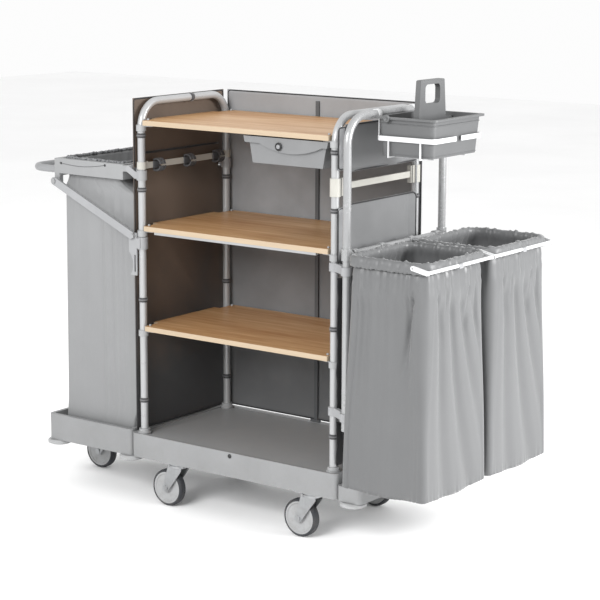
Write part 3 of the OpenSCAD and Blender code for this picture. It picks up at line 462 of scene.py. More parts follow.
# A rounded block with softened edges, from its lowest to its highest corner
def softBlock(low, high, edge):
    low, high = Vector(low), Vector(high)
    loops = []
    levels = [(edge, 0.0), (edge * 0.3, edge * 0.3), (0.0, edge), (0.0, -edge), (edge * 0.3, -edge * 0.3),
              (edge, 0.0)]
    for index, (inset, lift) in enumerate(levels):
        z = low.z + lift if index < 3 else high.z + lift
        loop = []
        corner = edge
        for cx, cy, start in ((high.x, high.y, 0), (low.x, high.y, 90), (low.x, low.y, 180),
                              (high.x, low.y, 270)):
            sx = -1 if cx == high.x else 1
            sy = -1 if cy == high.y else 1
            for step in range(5):
                angle = math.radians(start + step * 22.5)
                loop.append((cx + sx * (corner + inset) + corner * math.cos(angle),
                             cy + sy * (corner + inset) + corner * math.sin(angle), z))
        loops.append(loop)
    points = [p for loop in loops for p in loop]
    size = len(loops[0])
    faces = []
    for row in range(len(loops) - 1):
        for step in range(size):
            a = row * size + step
            b = row * size + (step + 1) % size
            faces.append((a, b, b + size, a + size))
    faces.append(tuple(reversed(range(size))))
    faces.append(tuple(range((len(loops) - 1) * size, len(loops) * size)))
    return points, faces


# Bags: one lofted cloth shell each

# Rounded rectangle as points with outward directions, starting in the middle of the +X side
def rimPath(x0, x1, y0, y1, corner, perSide, perCorner):
    spots, outs, sides = [], [], []
    corners = [((x1 - corner, y1 - corner), 0), ((x0 + corner, y1 - corner), 90),
               ((x0 + corner, y0 + corner), 180), ((x1 - corner, y0 + corner), 270)]
    straight = [((x1, y0 + corner), (x1, y1 - corner), (1, 0)),
                ((x1 - corner, y1), (x0 + corner, y1), (0, 1)),
                ((x0, y1 - corner), (x0, y0 + corner), (-1, 0)), ((x0 + corner, y0), (x1 - corner, y0),
                                                                  (0, -1))]
    for face in range(4):
        (ax, ay), (bx, by), out = straight[face]
        for step in range(perSide):
            share = step / perSide
            spots.append((ax + (bx - ax) * share, ay + (by - ay) * share))
            outs.append(out)
            sides.append((face, share))
        (cx, cy), start = corners[face]
        for step in range(perCorner):
            angle = math.radians(start + 90 * step / perCorner)
            spots.append((cx + corner * math.cos(angle), cy + corner * math.sin(angle)))
            outs.append((math.cos(angle), math.sin(angle)))
            sides.append((face, 1 + step / perCorner))
    half = perSide // 2
    order = list(range(half, len(spots))) + list(range(half))
    return (np.array([spots[i] for i in order]), np.array([outs[i] for i in order]),
            np.array([sides[i] for i in order]))


def smoothStep(value):
    value = np.clip(value, 0, 1)
    return value * value * (3 - 2 * value)


# Long creases that fan down a face: (start, end, width at the top, width below, height)
def creaseField(sides, down, creases):
    height = np.zeros(len(sides))
    for face, lines in creases.items():
        here = np.abs(sides[:, 0] - face) < 0.5
        place = np.minimum(sides[:, 1], 1.0)
        for start, end, wideTop, wideLow, lift in lines:
            centre = start + (end - start) * down
            wide = wideTop + (wideLow - wideTop) * down
            bump = np.exp(-((place - centre) / wide) ** 2)
            fade = 0.25 + 0.75 * smoothStep(down / 0.08)
            height += np.where(here & (sides[:, 1] <= 1.0), bump * lift * fade * (1 - 0.25 * down), 0)
    return height


# Drawn-in ripples, the same for each run of the script
def rippleField(count, waves, seed):
    rng = np.random.default_rng(seed)
    angle = np.linspace(0, 2 * np.pi, count, endpoint=False)
    field = np.zeros(count)
    for wave in waves:
        field += np.sin(wave * angle + rng.uniform(0, 6.28)) * rng.uniform(0.6, 1.0)
    return field / len(waves)


def capFaces(count, base):
    half = count // 2
    faces = []
    for step in range(half - 1):
        a, b = step, step + 1
        c, d = count - 2 - step, count - 1 - step
        if b != c:
            faces.append((base + a, base + b, base + c, base + d))
    return faces


def loftRows(rows, flip=True):
    count = len(rows[0])
    points = [p for row in rows for p in row]
    faces = []
    for row in range(len(rows) - 1):
        for step in range(count):
            a = row * count + step
            b = row * count + (step + 1) % count
            faces.append((a, a + count, b + count, b) if flip else (a, b, b + count, a + count))
    faces.extend(capFaces(count, (len(rows) - 1) * count))
    return points, faces


wasteBag = {
    "perSide": 56, "perCorner": 14,
    "cuffDrop": 0.019,      # how far the turned-down cuff hangs outside the ring
    "cornerTop": 0.040, "cornerLow": 0.012,
    "flare": 0.009,         # how much wider the base is than the ring
    "rise": 0.008,          # how far the base's corners lift
    "hollow": 0.012,        # how deep the cloth lies between its ridges
    # folds that fan out down the +X face: where they start, folds per face above and below, depth
    "fan": {"from": 0.06, "above": 4.7, "below": 2.1, "deep": 0.0125},
    # per face: start, end, width at the top, width below, height of each long ridge
    "ridges": {
        3: [(0.04, 0.03, 0.05, 0.10, 0.012), (0.30, 0.26, 0.10, 0.14, 0.010),
            (0.60, 0.56, 0.10, 0.14, 0.010),
            (0.97, 0.97, 0.05, 0.12, 0.013)],
        1: [(0.04, 0.03, 0.05, 0.10, 0.012), (0.30, 0.34, 0.06, 0.10, 0.013),
            (0.62, 0.60, 0.07, 0.11, 0.012),
            (0.97, 0.97, 0.04, 0.10, 0.012)],
        2: [(0.03, 0.03, 0.05, 0.10, 0.012), (0.28, 0.30, 0.06, 0.10, 0.013),
            (0.58, 0.55, 0.06, 0.10, 0.012),
            (0.97, 0.97, 0.05, 0.10, 0.012)]
    },
    # per face: start, end, width, depth and how far down each short tuck reaches
    "tucks": {
        3: [(0.985, 0.77, 0.030, 0.027, 0.42), (0.90, 0.84, 0.018, 0.010, 0.20)],
        0: [(0.10, 0.18, 0.020, 0.010, 0.22), (0.30, 0.27, 0.014, 0.007, 0.15),
            (0.80, 0.70, 0.022, 0.011, 0.24),
            (0.93, 0.95, 0.018, 0.008, 0.30)],
        1: [(0.20, 0.26, 0.02, 0.007, 0.22), (0.80, 0.74, 0.02, 0.008, 0.26)],
        2: [(0.16, 0.22, 0.02, 0.007, 0.22), (0.82, 0.76, 0.02, 0.008, 0.26)]
    }
}


# Short pulled-in tucks under the rim that fade as they run down
def tuckField(sides, down, tucks):
    depth = np.zeros(len(sides))
    for face, lines in tucks.items():
        here = (np.abs(sides[:, 0] - face) < 0.5) & (sides[:, 1] <= 1.0)
        for start, end, wide, deep, reach in lines:
            if down > reach:
                continue
            run = down / reach
            centre = start + (end - start) * run
            lies = np.exp(-((np.minimum(sides[:, 1], 1.0) - centre) / (wide * (1 + run))) ** 2)
            depth += np.where(here, lies * deep * (1 - run) ** 0.8 * smoothStep(down / 0.02), 0)
    return depth


# Folds that start close together under the rim and spread as they run down
def fanField(place, down, fan):
    perFace = fan["above"] + (fan["below"] - fan["above"]) * down ** 0.75
    wave = np.cos(2 * math.pi * (place - fan["from"]) * perFace)
    sharp = wave - 0.22 * np.cos(4 * math.pi * (place - fan["from"]) * perFace)
    strength = smoothStep(down / 0.12) * (1 - 0.45 * down)
    held = np.clip(np.sin(math.pi * np.clip(place, 0, 1)), 0, 1) ** 0.4
    return (sharp - 1.0) * fan["deep"] * 0.5 * strength * held + 0.0005


def makeWasteBag(name, node, seed):
    spec = wasteBag
    low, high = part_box(node)
    flare = spec["flare"]
    ringZ = high.z + 0.0075
    edge = (low.x + flare + 0.006, high.x - flare - 0.0065, low.y + flare + 0.007, high.y - flare - 0.007)
    total = 4 * (spec["perSide"] + spec["perCorner"])
    fine = rippleField(total, [37, 53, 71, 94], seed)
    gather = rippleField(total, [17, 26, 35, 48], seed + 1)
    broad = rippleField(total, [3, 5, 8], seed + 2)
    rough = [rippleField(total, [11, 23, 39, 66], seed + 10 + k) for k in range(12)]
    rows = []

    def addRow(off, z, corner, outward, lift):
        x0, x1, y0, y1 = edge
        spots, outs, _ = rimPath(x0 - off, x1 + off, y0 - off, y1 + off, max(corner + off, 0.006),
                                 spec["perSide"], spec["perCorner"])
        flat = spots + outs * outward[:, None]
        rows.append(np.column_stack([flat, z + lift]))

    rim = [(0.0085, -spec["cuffDrop"]), (0.0112, -0.0165), (0.0122, -0.0100), (0.0118, -0.0020),
           (0.0096, 0.0060),
           (0.0050, 0.0108), (-0.0010, 0.0116), (-0.0062, 0.0088), (-0.0092, 0.0020), (-0.0088, -0.0080),
           (-0.0040, -0.0180), (0.0010, -0.0290), (0.0030, -0.0450), (0.0030, -0.0620)]
    for index, (off, drop) in enumerate(rim):
        outside = index < 6
        size = 0.0042 if index < 4 else 0.0026
        outward = rough[index % 12] * size - 0.0012 if outside else -np.abs(gather) * 0.0030
        outward = np.minimum(outward, 0.0006) if outside else outward
        lift = np.clip(rough[(index + 5) % 12], -1, 1) * (0.0046 if 2 < index < 9 else 0.0034)
        if 3 < index < 8:
            lift = np.abs(lift) + np.maximum(gather, 0) * 0.006
        if index >= 10:
            outward = gather * 0.0036 - 0.002
            lift = np.zeros(total)
        addRow(off, ringZ + drop, spec["cornerTop"], outward, lift)

    lowest = low.z + 0.003
    top = ringZ - 0.078
    for share in np.linspace(0, 1, 44) ** 0.92:
        corner = spec["cornerTop"] + (spec["cornerLow"] - spec["cornerTop"]) * smoothStep(share * 1.3)
        _, _, sides = rimPath(0, 1, 0, 1, 0.1, spec["perSide"], spec["perCorner"])
        ridges = np.minimum(creaseField(sides, share, spec["ridges"]), spec["hollow"] * 1.15)
        atCorner = np.clip(sides[:, 1] - 1, 0, 1)
        onCorner = sides[:, 1] >= 1
        outward = np.where(onCorner, 0.0, ridges - spec["hollow"] * smoothStep(share / 0.10))
        outward = np.where((sides[:, 0] == 0) & ~onCorner, fanField(sides[:, 1], share, spec["fan"]),
                           outward)
        outward -= tuckField(sides, share, spec["tucks"])
        outward += gather * 0.0034 * math.exp(-share / 0.05)
        outward += broad * 0.0034 * math.sin(math.pi * min(1.0, share * 1.1))
        outward += fine * 0.0022 * math.exp(-(1 - share) / 0.03) - 0.0010
        outward += np.where(onCorner, np.sin(np.pi * atCorner) * 0.004 * share, 0)
        along = np.minimum(sides[:, 1], 1.0)
        raised = spec["rise"] * (1 - np.sin(np.pi * along)) * smoothStep((share - 0.72) / 0.28)
        raised = np.where(sides[:, 1] > 1, spec["rise"] * smoothStep((share - 0.72) / 0.28), raised)
        addRow(0.0045 + flare * share, top + (lowest - top) * share, corner, np.minimum(outward, 0.0028),
               raised)
    bottom = rows[-1]
    centre = bottom.mean(axis=0)
    for inset, drop in ((0.985, 0.0035), (0.93, 0.004), (0.70, 0.002), (0.42, 0.0), (0.14, -0.002)):
        row = centre + (bottom - centre) * np.array([inset, inset, 0.6])
        row[:, 2] = np.maximum(row[:, 2] - 0.002 + drop * 0.5, low.z + 0.0012)
        rows.append(row)
    points, faces = loftRows(rows)
    bag = addPiece(name, points, faces, finish["bag_fabric"], "frame", "bag_fabric")
    thicken(bag, 0.0012)
    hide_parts(node)
    return bag


for side, seed in (("front", 21), ("back", 47)):
    makeWasteBag("wasteBag" + side.capitalize(), "bag_" + side, seed)
print("waste bags made")


linenBag = {
    "perSide": 44, "perCorner": 14, "corner": 0.030, "cornerLow": 0.016,
    "creases": {
        3: [(0.10, 0.08, 0.06, 0.07, 0.004), (0.36, 0.34, 0.08, 0.09, 0.004),
            (0.60, 0.61, 0.035, 0.04, 0.008),
            (0.76, 0.78, 0.04, 0.05, 0.009), (0.92, 0.92, 0.04, 0.05, 0.007)],
        2: [(0.12, 0.14, 0.05, 0.06, 0.006), (0.38, 0.40, 0.06, 0.07, 0.006),
            (0.66, 0.62, 0.05, 0.06, 0.007),
            (0.88, 0.90, 0.05, 0.06, 0.005)],
        1: [(0.20, 0.18, 0.06, 0.07, 0.006), (0.50, 0.54, 0.05, 0.06, 0.007),
            (0.80, 0.78, 0.06, 0.06, 0.006)],
        0: [(0.25, 0.25, 0.06, 0.07, 0.005), (0.70, 0.72, 0.06, 0.07, 0.005)]
    }
}


def makeLinenBag():
    spec = linenBag
    low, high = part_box("linen_bag")
    frameLow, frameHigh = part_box("linen_frame")
    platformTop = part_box("linen_platform")[1].z
    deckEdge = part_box("deck_tray")[0].x - 0.018
    total = 4 * (spec["perSide"] + spec["perCorner"])
    gather = rippleField(total, [29, 41, 55, 73], 5)
    broad = rippleField(total, [5, 8, 13], 6)
    fine = rippleField(total, [33, 52, 77], 7)
    neckX0 = frameLow.x + 0.022
    neckX1 = low.x + (high.x - low.x) * 0.785
    neckY = high.y - 0.007
    shoulder = frameLow.z + 0.02
    rows = []

    def addRow(x0, x1, y, z, corner, outward):
        spots, outs, _ = rimPath(x0, x1, -y, y, corner, spec["perSide"], spec["perCorner"])
        rows.append(np.column_stack([spots + outs * outward[:, None], np.full(total, z)]))

    _, _, sides = rimPath(0, 1, 0, 1, 0.1, spec["perSide"], spec["perCorner"])
    for z in (frameHigh.z - 0.004, frameHigh.z - 0.014, frameHigh.z - 0.03, frameHigh.z - 0.048):
        addRow(neckX0, neckX1, neckY, z, 0.02, gather * 0.0022 - 0.003)
    for share in (0.0, 0.35, 0.7, 1.0):
        ease = smoothStep(share)
        addRow(neckX0 + (low.x + 0.004 - neckX0) * ease, neckX1 + (high.x - 0.004 - neckX1) * ease,
               neckY + (high.y - 0.002 - neckY) * ease, shoulder + 0.01 - 0.045 * share,
               spec["corner"], gather * 0.0020 - 0.003)
    top = shoulder - 0.05
    lowest = low.z + 0.0025
    for share in np.linspace(0, 1, 34):
        z = top + (lowest - top) * share
        tuck = smoothStep((platformTop + 0.06 - z) / 0.055)
        x1 = high.x - 0.003 + (deckEdge - high.x) * tuck
        corner = spec["corner"] + (spec["cornerLow"] - spec["corner"]) * share
        outward = creaseField(sides, share, spec["creases"]) - 0.0065
        outward += broad * 0.0030 + gather * 0.0020 * math.exp(-share / 0.05)
        outward += fine * 0.0018 * math.exp(-(1 - share) / 0.05)
        addRow(low.x + 0.003, x1, high.y - 0.002, z, corner, np.minimum(outward, 0.002) * (1 - 0.5 * tuck))
    bottom = rows[-1]
    centre = bottom.mean(axis=0)
    for inset in (0.985, 0.90, 0.6, 0.3, 0.1):
        row = centre + (bottom - centre) * np.array([inset, inset, 1.0])
        row[:, 2] = low.z + 0.0014
        rows.append(row)
    points, faces = loftRows(rows)
    bag = addPiece("linenBag", points, faces, linenCloth, "frame", "bag_fabric")
    thicken(bag, 0.0014)
    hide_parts("linen_bag")
    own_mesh(bag)

    # gathered hem rolled over the inside of the frame
    spots, outs, _ = rimPath(neckX0 - 0.001, neckX1 + 0.012, -neckY - 0.001, neckY + 0.001, 0.02, 90, 16)
    count = len(spots)
    puff = rippleField(count, [61, 83, 109, 137], 9)
    wave = rippleField(count, [17, 29, 43], 11)
    line = np.column_stack([spots - outs * (0.002 + 0.002 * wave[:, None]),
                            frameHigh.z - 0.001 + 0.002 * wave])
    points, faces = tubeMesh(line, 0.0055 + 0.0016 * puff, 12, True)
    hem = addPiece("linenHem", points, faces, hemCloth, "linen_frame", "bag_fabric")
    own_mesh(hem)
    return bag, hem


def mottledCloth():
    material = coatedCloth("hemCloth", srgb(150, 151, 153), 0.62, 0.05, 0.2, 0.3)
    tree = material.node_tree
    shader = tree.nodes["Principled BSDF"]
    link = shader.inputs["Base Color"].links[0]
    blot = addNoise(tree, addNode(tree, "TexCoord").outputs["Object"], 95.0, 3.0, 0.7)
    mask = between(tree, blot, 0.0, 1.0, 0.46, 0.58)
    tree.links.new(addMix(tree, mask, link.from_socket, srgb(66, 67, 70)), shader.inputs["Base Color"])
    return material


hemCloth = mottledCloth()
makeLinenBag()
print("linen bag made")


# Panels

# Cloth over a rectangle with openings left out; bulge gives the height off the plane at (across, up)
def panelMesh(acrossRange, upRange, step, openings, place, bulge):
    def lines(low, high, extra):
        count = max(2, int(round((high - low) / step)))
        values = set(np.round(np.linspace(low, high, count + 1), 5))
        for value in extra:
            near = min(values, key=lambda v: abs(v - value))
            if near not in (round(low, 5), round(high, 5)):
                values.discard(near)
            values.add(round(value, 5))
        return sorted(values)
    across = lines(*acrossRange, [v for o in openings for v in o[:2] if acrossRange[0] < v < acrossRange[1]])
    up = lines(*upRange, [v for o in openings for v in o[2:] if upRange[0] < v < upRange[1]])
    points, faces, index = [], [], {}

    def corner(i, j):
        if (i, j) not in index:
            index[(i, j)] = len(points)
            points.append(place(across[i], up[j], bulge(across[i], up[j])))
        return index[(i, j)]

    for i in range(len(across) - 1):
        for j in range(len(up) - 1):
            midAcross = (across[i] + across[i + 1]) / 2
            midUp = (up[j] + up[j + 1]) / 2
            if any(o[0] < midAcross < o[1] and o[2] < midUp < o[3] for o in openings):
                continue
            faces.append((corner(i, j), corner(i + 1, j), corner(i + 1, j + 1), corner(i, j + 1)))
    return points, faces


def edgeFade(value, low, high, width):
    return float(smoothStep(min(value - low, high - value) / width))


panels = {
    "step": 0.012, "depth": 0.0018, "piping": 0.0028,
    "seamAbove": 0.045, "seamRadius": 0.0036,    # sewn line over the left panel's notches
    "notch": (0.2055, 1.097, 1.131),    # where the pivot brackets pass the left panel
    "window": (0.192, 1.078, 1.175)     # opening behind the crossbar
}


def leftBulge(across, up):
    low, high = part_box("left_panel")
    fade = edgeFade(across, low.y, high.y, 0.05) * edgeFade(up, low.z, high.z, 0.05)
    slant = across * 0.55 + up
    waves = 0.0016 * math.sin(slant * 31) + 0.0013 * math.sin(across * 21 + 2 * up)
    crease = (0.0030 * math.exp(-((slant - 0.50) / 0.030) ** 2)
              + 0.0026 * math.exp(-((slant - 0.38) / 0.022) ** 2))
    crease += 0.0026 * math.exp(-((across * 1.2 + up - 0.78) / 0.03) ** 2)
    return (waves + crease) * fade


def backBulge(across, up):
    low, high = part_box("back_panel")
    fade = edgeFade(across, low.x, high.x, 0.04) * edgeFade(up, low.z, high.z, 0.04)
    waves = 0.0012 * math.sin(across * 17 + up * 3) + 0.0010 * math.sin(up * 13 - across * 5)
    crease = 0.0028 * math.exp(-((across * 0.8 + up - 0.95) / 0.04) ** 2)
    return (0.0022 + waves + crease) * fade


def rightBulge(across, up):
    low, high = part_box("right_panel")
    fade = edgeFade(across, low.y, high.y, 0.03) * edgeFade(up, low.z, high.z, 0.03)
    waves = 0.0012 * math.sin(up * 23 + across * 4) + 0.0010 * math.sin(across * 25)
    fold = -0.0040 * math.exp(-((across - 0.165) / 0.012) ** 2) * (1 if up < 1.078 else 0)
    return (waves + fold) * fade


def panelTable():
    notch = panels["notch"]
    window = panels["window"]
    notches = [(notch[0], 9, notch[1], notch[2]), (-9, -notch[0], notch[1], notch[2])]
    return [
        ("leftPanelCloth", "left_panel", 1, notches, leftBulge, "dark_fabric", finish["dark_fabric"],
         "left_hoop"),
        ("backPanelCloth", "back_panel", 0, [], backBulge, "panel_fabric", finish["panel_fabric"],
         "left_hoop"),
        ("rightPanelCloth", "right_panel", 1, [(-window[0], window[0], window[1], window[2])], rightBulge,
         "panel_fabric", sidePanelCloth, "right_hoop")
    ]


def makePanels():
    for name, node, axis, openings, bulge, slotName, cloth, hangs in panelTable():
        low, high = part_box(node)
        flatAxis = 1 - axis
        middle = (low[flatAxis] + high[flatAxis]) / 2

        def place(across, up, height):
            return (middle + height, across, up) if axis == 1 else (across, middle + height, up)

        points, faces = panelMesh((low[axis], high[axis]), (low.z, high.z), panels["step"], openings,
                                  place, bulge)
        panel = addPiece(name, points, faces, cloth, "frame", slotName)
        thicken(panel, panels["depth"])
        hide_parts(node)
        cut = sum((min(o[1], high[axis]) - max(o[0], low[axis])) * (o[3] - o[2]) for o in openings)


makePanels()


# Bound edges: a cord sewn round the cloth
def roundedLine(place, corners, corner, closed=False):
    line = []
    count = len(corners)
    for index, spot in enumerate(corners):
        here = Vector(spot)
        before = Vector(corners[index - 1])
        after = Vector(corners[(index + 1) % count])
        if not closed and index in (0, count - 1):
            line.append(here)
            continue
        start = here + (before - here).normalized() * corner
        end = here + (after - here).normalized() * corner
        for step in range(7):
            share = step / 6
            line.append(start.lerp(here, share).lerp(here.lerp(end, share), share))
    dense = []
    total = len(line)
    for index in range(total if closed else total - 1):
        first, second = line[index], line[(index + 1) % total]
        pieces = max(1, int((second - first).length / 0.03))
        dense.extend(first.lerp(second, step / pieces) for step in range(pieces))
    if not closed:
        dense.append(line[-1])
    return [place(spot.x, spot.y) for spot in dense]


def makePiping():
    radius = panels["piping"]
    low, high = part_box("left_panel")
    middle = (low.x + high.x) / 2
    notch = panels["notch"]
    parts = []

    def onLeft(across, up):
        return (middle, across, up)

    inset = radius
    for side in (-1, 1):
        edge = side * (high.y - inset)
        parts.append(tubeMesh(roundedLine(onLeft, [(edge, low.z + inset), (edge, notch[1] - 0.004)],
                                          0.01), radius))
    parts.append(tubeMesh(roundedLine(
        onLeft, [(-high.y + inset, notch[2] + 0.004), (-high.y + inset, high.z - inset),
                 (high.y - inset, high.z - inset), (high.y - inset, notch[2] + 0.004)], 0.012), radius))
    seam = notch[2] + panels["seamAbove"]
    parts.append(tubeMesh([(middle + 0.003, y, seam) for y in np.linspace(-0.2, 0.2, 20)],
                          panels["seamRadius"]))
    addPiece("leftPanelPiping", *joinMeshes(parts), pipingBlack, "frame", "dark_fabric")

    low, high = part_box("back_panel")
    middleY = (low.y + high.y) / 2 + 0.001

    def onBack(across, up):
        return (across, middleY, up)

    line = roundedLine(onBack, [(low.x + inset, low.z + inset), (low.x + inset, high.z - inset),
                                (high.x - inset, high.z - inset), (high.x - inset,
                                                                   low.z + inset)], 0.014, True)
    addPiece("backPanelPiping", *tubeMesh(line, radius, 10, True), pipingBlack, "frame", "panel_fabric")

    low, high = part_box("right_panel")
    middleX = (low.x + high.x) / 2
    window = panels["window"]

    def onRight(across, up):
        return (middleX, across, up)

    lower = [(low.y + inset, low.z + inset), (low.y + inset, window[1] - inset),
             (high.y - inset, window[1] - inset), (high.y - inset, low.z + inset)]
    upper = [(low.y + inset, window[2] + inset), (low.y + inset, high.z - inset),
             (high.y - inset, high.z - inset), (high.y - inset, window[2] + inset)]
    parts = [tubeMesh(roundedLine(onRight, lower, 0.022, True), radius, 10, True),
             tubeMesh(roundedLine(onRight, upper, 0.016, True), radius, 10, True)]
    addPiece("rightPanelPiping", *joinMeshes(parts), pipingBlack, "frame", "panel_fabric")


makePiping()
print("panels and piping made")


# Small fittings

domed = [(0.0, 0.0), (0.0045, 0.0), (0.0045, 0.0035), (0.0038, 0.0052), (0.002, 0.0062), (0.0003, 0.0066)]


def makeFittings():
    postLow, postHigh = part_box("left_hoop")
    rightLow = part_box("right_hoop")[0]
    pegs = []
    for board in ("shelf_low", "shelf_mid", "shelf_top"):
        low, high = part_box(board)
        for x in (postHigh.x + 0.014, rightLow.x - 0.014):
            for y in (low.y + 0.018, high.y - 0.018):
                pegs.append(turnedMesh(domed, (x, y, high.z - 0.0004), (0, 0, 1), 16))
    addPiece("shelfPegs", *joinMeshes(pegs), finish["foot_plastic"], "frame", "foot_plastic")

    deckLow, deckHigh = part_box("deck_tray")
    stud = [(0.0, 0.0), (0.007, 0.0), (0.007, 0.002), (0.0055, 0.0034), (0.003, 0.004), (0.0004, 0.0041)]
    middle = (deckLow.x + deckHigh.x) / 2
    addPiece("deckStud", *turnedMesh(stud, (middle, deckLow.y + 0.0005, deckHigh.z - 0.012), (0, -1, 0),
                                     20),
             blackPlastic, "frame", "clip_rubber")

    knob = [(0.0, 0.0), (0.006, 0.0), (0.006, 0.008), (0.012, 0.009), (0.013, 0.012), (0.013, 0.020),
            (0.0115, 0.0225), (0.006, 0.024), (0.0005, 0.0244)]
    spot = ((postLow.x + postHigh.x) / 2, postHigh.y - 0.027, 0.872)
    addPiece("postKnob", *turnedMesh(knob, spot, (0, -1, 0)), blackPlastic, "frame", "clip_rubber")


makeFittings()


# Rubber grips on the clip rail: slim looped fingers in three bunches
clipGrips = {
    "bunches": (0.088, 0.505, 0.912), "perBunch": 4, "pitch": 0.0085,
    "reach": 0.021, "half": 0.019, "thick": 0.0030
}


def makeClipGrips():
    spec = clipGrips
    low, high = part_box("tool_clips")
    z = (low.z + high.z) / 2
    parts = []
    for bunch in spec["bunches"]:
        middle = low.y + (high.y - low.y) * bunch
        parts.append(softBlock((low.x, middle - 0.018, z - 0.013),
                               (low.x + 0.005, middle + 0.018, z + 0.013), 0.002))
        for index in range(spec["perBunch"]):
            y = middle + (index - (spec["perBunch"] - 1) / 2) * spec["pitch"]
            lean = 0.0012 * (-1) ** index
            for side in (1, -1):
                loop = []
                for step in range(15):
                    angle = math.radians(side * (128 - step * 8.6))
                    loop.append((low.x + 0.010 + spec["reach"] * math.cos(angle) * 0.9,
                                 y + lean * math.sin(angle), z + spec["half"] * math.sin(angle)))
                thick = [spec["thick"] * (1.15 - 0.35 * step / 14) for step in range(15)]
                parts.append(tubeMesh(loop, thick, 10))
    grips = addPiece("clipGrips", *joinMeshes(parts), finish["clip_rubber"], "frame", "clip_rubber")
    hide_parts("tool_clips")


makeClipGrips()


# Sewn-on flap along the right panel's front edge; below the rings a black sheet stands in for painted shade
# in the gap
panelFlap = {
    "reach": 0.032, "topRuns": [(0.893, 1.070), (1.184, 1.316)], "shadeRuns": [(0.262, 0.402), (0.438, 0.854)]
}


def makePanelFlap():
    low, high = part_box("right_panel")
    middle = (low.x + high.x) / 2
    front = low.y - panelFlap["reach"]

    def flapRows(runs):
        parts = []
        for bottom, top in runs:
            upCount = max(3, int((top - bottom) / 0.012))
            points, faces = [], []
            for row in range(upCount + 1):
                z = bottom + (top - bottom) * row / upCount
                for column in range(5):
                    share = column / 4
                    y = low.y + 0.004 + (front - low.y - 0.004) * share
                    wave = 0.0016 * math.sin(z * 42) * share + 0.0010 * math.sin(z * 95 + 2) * share
                    points.append((middle + wave, y, z))
            for row in range(upCount):
                for column in range(4):
                    a = row * 5 + column
                    faces.append((a, a + 1, a + 6, a + 5))
            parts.append((points, faces))
        return joinMeshes(parts)

    # the lower runs carry a black sheet of painted shade for the gap beside the bag
    for name, runs, cloth in (("rightPanelFlap", panelFlap["topRuns"], finish["panel_fabric"]),
                              ("rightPanelShadeSheet", panelFlap["shadeRuns"], pipingBlack)):
        flap = addPiece(name, *flapRows(runs), cloth, "frame", "panel_fabric")
        thicken(flap, panels["depth"])
        tall = sum(top - bottom for bottom, top in runs)
    piping = []
    radius = panels["piping"]
    for bottom, top in panelFlap["topRuns"]:
        corners = [(low.y + 0.002, top - radius), (front, top - radius), (front, bottom + radius),
                   (low.y + 0.002, bottom + radius)]
        line = roundedLine(lambda across, up: (middle, across, up), corners, 0.012)
        piping.append(tubeMesh(line, radius * 0.9))
    addPiece("rightFlapPiping", *joinMeshes(piping), pipingBlack, "frame", "panel_fabric")


makePanelFlap()


# Lighter loop over each textile strap, and the strap on the left hoop's top
straps = {"heights": (0.344, 0.685, 1.052, 1.230), "along": 0.031}


def makeStrapLoops():
    loops = []
    tall = 0.0050
    for hoop in ("left_hoop", "right_hoop"):
        low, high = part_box(hoop)
        x = (low.x + high.x) / 2
        tube = (high.x - low.x) / 2
        for y in (low.y + tube, high.y - tube):
            for z in straps["heights"]:
                ring = [(tube + 0.0012, 0.0), (tube + 0.0026, 0.0006), (tube + 0.0030, tall / 2),
                        (tube + 0.0026, tall - 0.0006), (tube + 0.0012, tall)]
                loops.append(turnedMesh(ring, (x, y, z + 0.0050), (0, 0, 1), 32))
    addPiece("strapLoops", *joinMeshes(loops), strapGrey, "frame", "strap_textile")
    low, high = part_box("left_hoop")
    x = (low.x + high.x) / 2
    tube = (high.x - low.x) / 2
    band = [(tube + 0.0004, 0.0), (tube + 0.0018, 0.0005), (tube + 0.0020, 0.008), (tube + 0.0018, 0.0155),
            (tube + 0.0004, 0.016)]
    addPiece("hoopStrap", *turnedMesh(band, (x, straps["along"] - 0.008, high.z - tube), (0, 1, 0), 32),
             finish["strap_textile"], "frame", "strap_textile")


makeStrapLoops()


# Curved bead and two screws on each side of the linen frame
frameTrim = {"start": 0.024, "run": 0.205, "drop": 0.0165, "sag": 0.009, "rise": 0.006, "bead": 0.0011,
             "steps": 30}
screwHead = [(0.0, 0.0), (0.0042, 0.0), (0.0042, 0.0008), (0.0026, 0.0016), (0.0003, 0.0017)]


def makeFrameTrim():
    low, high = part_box("linen_frame")
    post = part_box("left_hoop")
    face = post[1].y - 0.0125 + 0.012
    lines, screws = [], []
    for side in (-1, 1):
        curve = []
        for step in range(frameTrim["steps"] + 1):
            share = step / frameTrim["steps"]
            height = (high.z - frameTrim["drop"] - frameTrim["sag"] * math.sin(math.pi * share)
                      + frameTrim["rise"] * share)
            curve.append((low.x + frameTrim["start"] + frameTrim["run"] * share, side * face, height))
        lines.append(tubeMesh(curve, frameTrim["bead"], 8))
        for spot in (curve[1], curve[-1]):
            screws.append(turnedMesh(screwHead, spot, (0, side, 0), 18))
    addPiece("frameBead", *joinMeshes(lines), beadGrey, "linen_frame", "frame_plastic")
    addPiece("frameScrews", *joinMeshes(screws), blackPlastic, "linen_frame", "clip_rubber")


makeFrameTrim()


caddyTrim = {"rim": 0.118, "corner": 0.016, "latchIn": 0.052, "latchDown": 0.004}
caddyLines = ((0.0200, 0.0124, 0.0016), (0.1120, 0.0192, 0.0012))  # depth under the rim, inset, radius
latchShape = [(0.0, 0.0), (0.012, 0.0), (0.012, 0.003), (0.0105, 0.0045), (0.0055, 0.0050), (0.0050, 0.0035),
              (0.0004, 0.0034)]


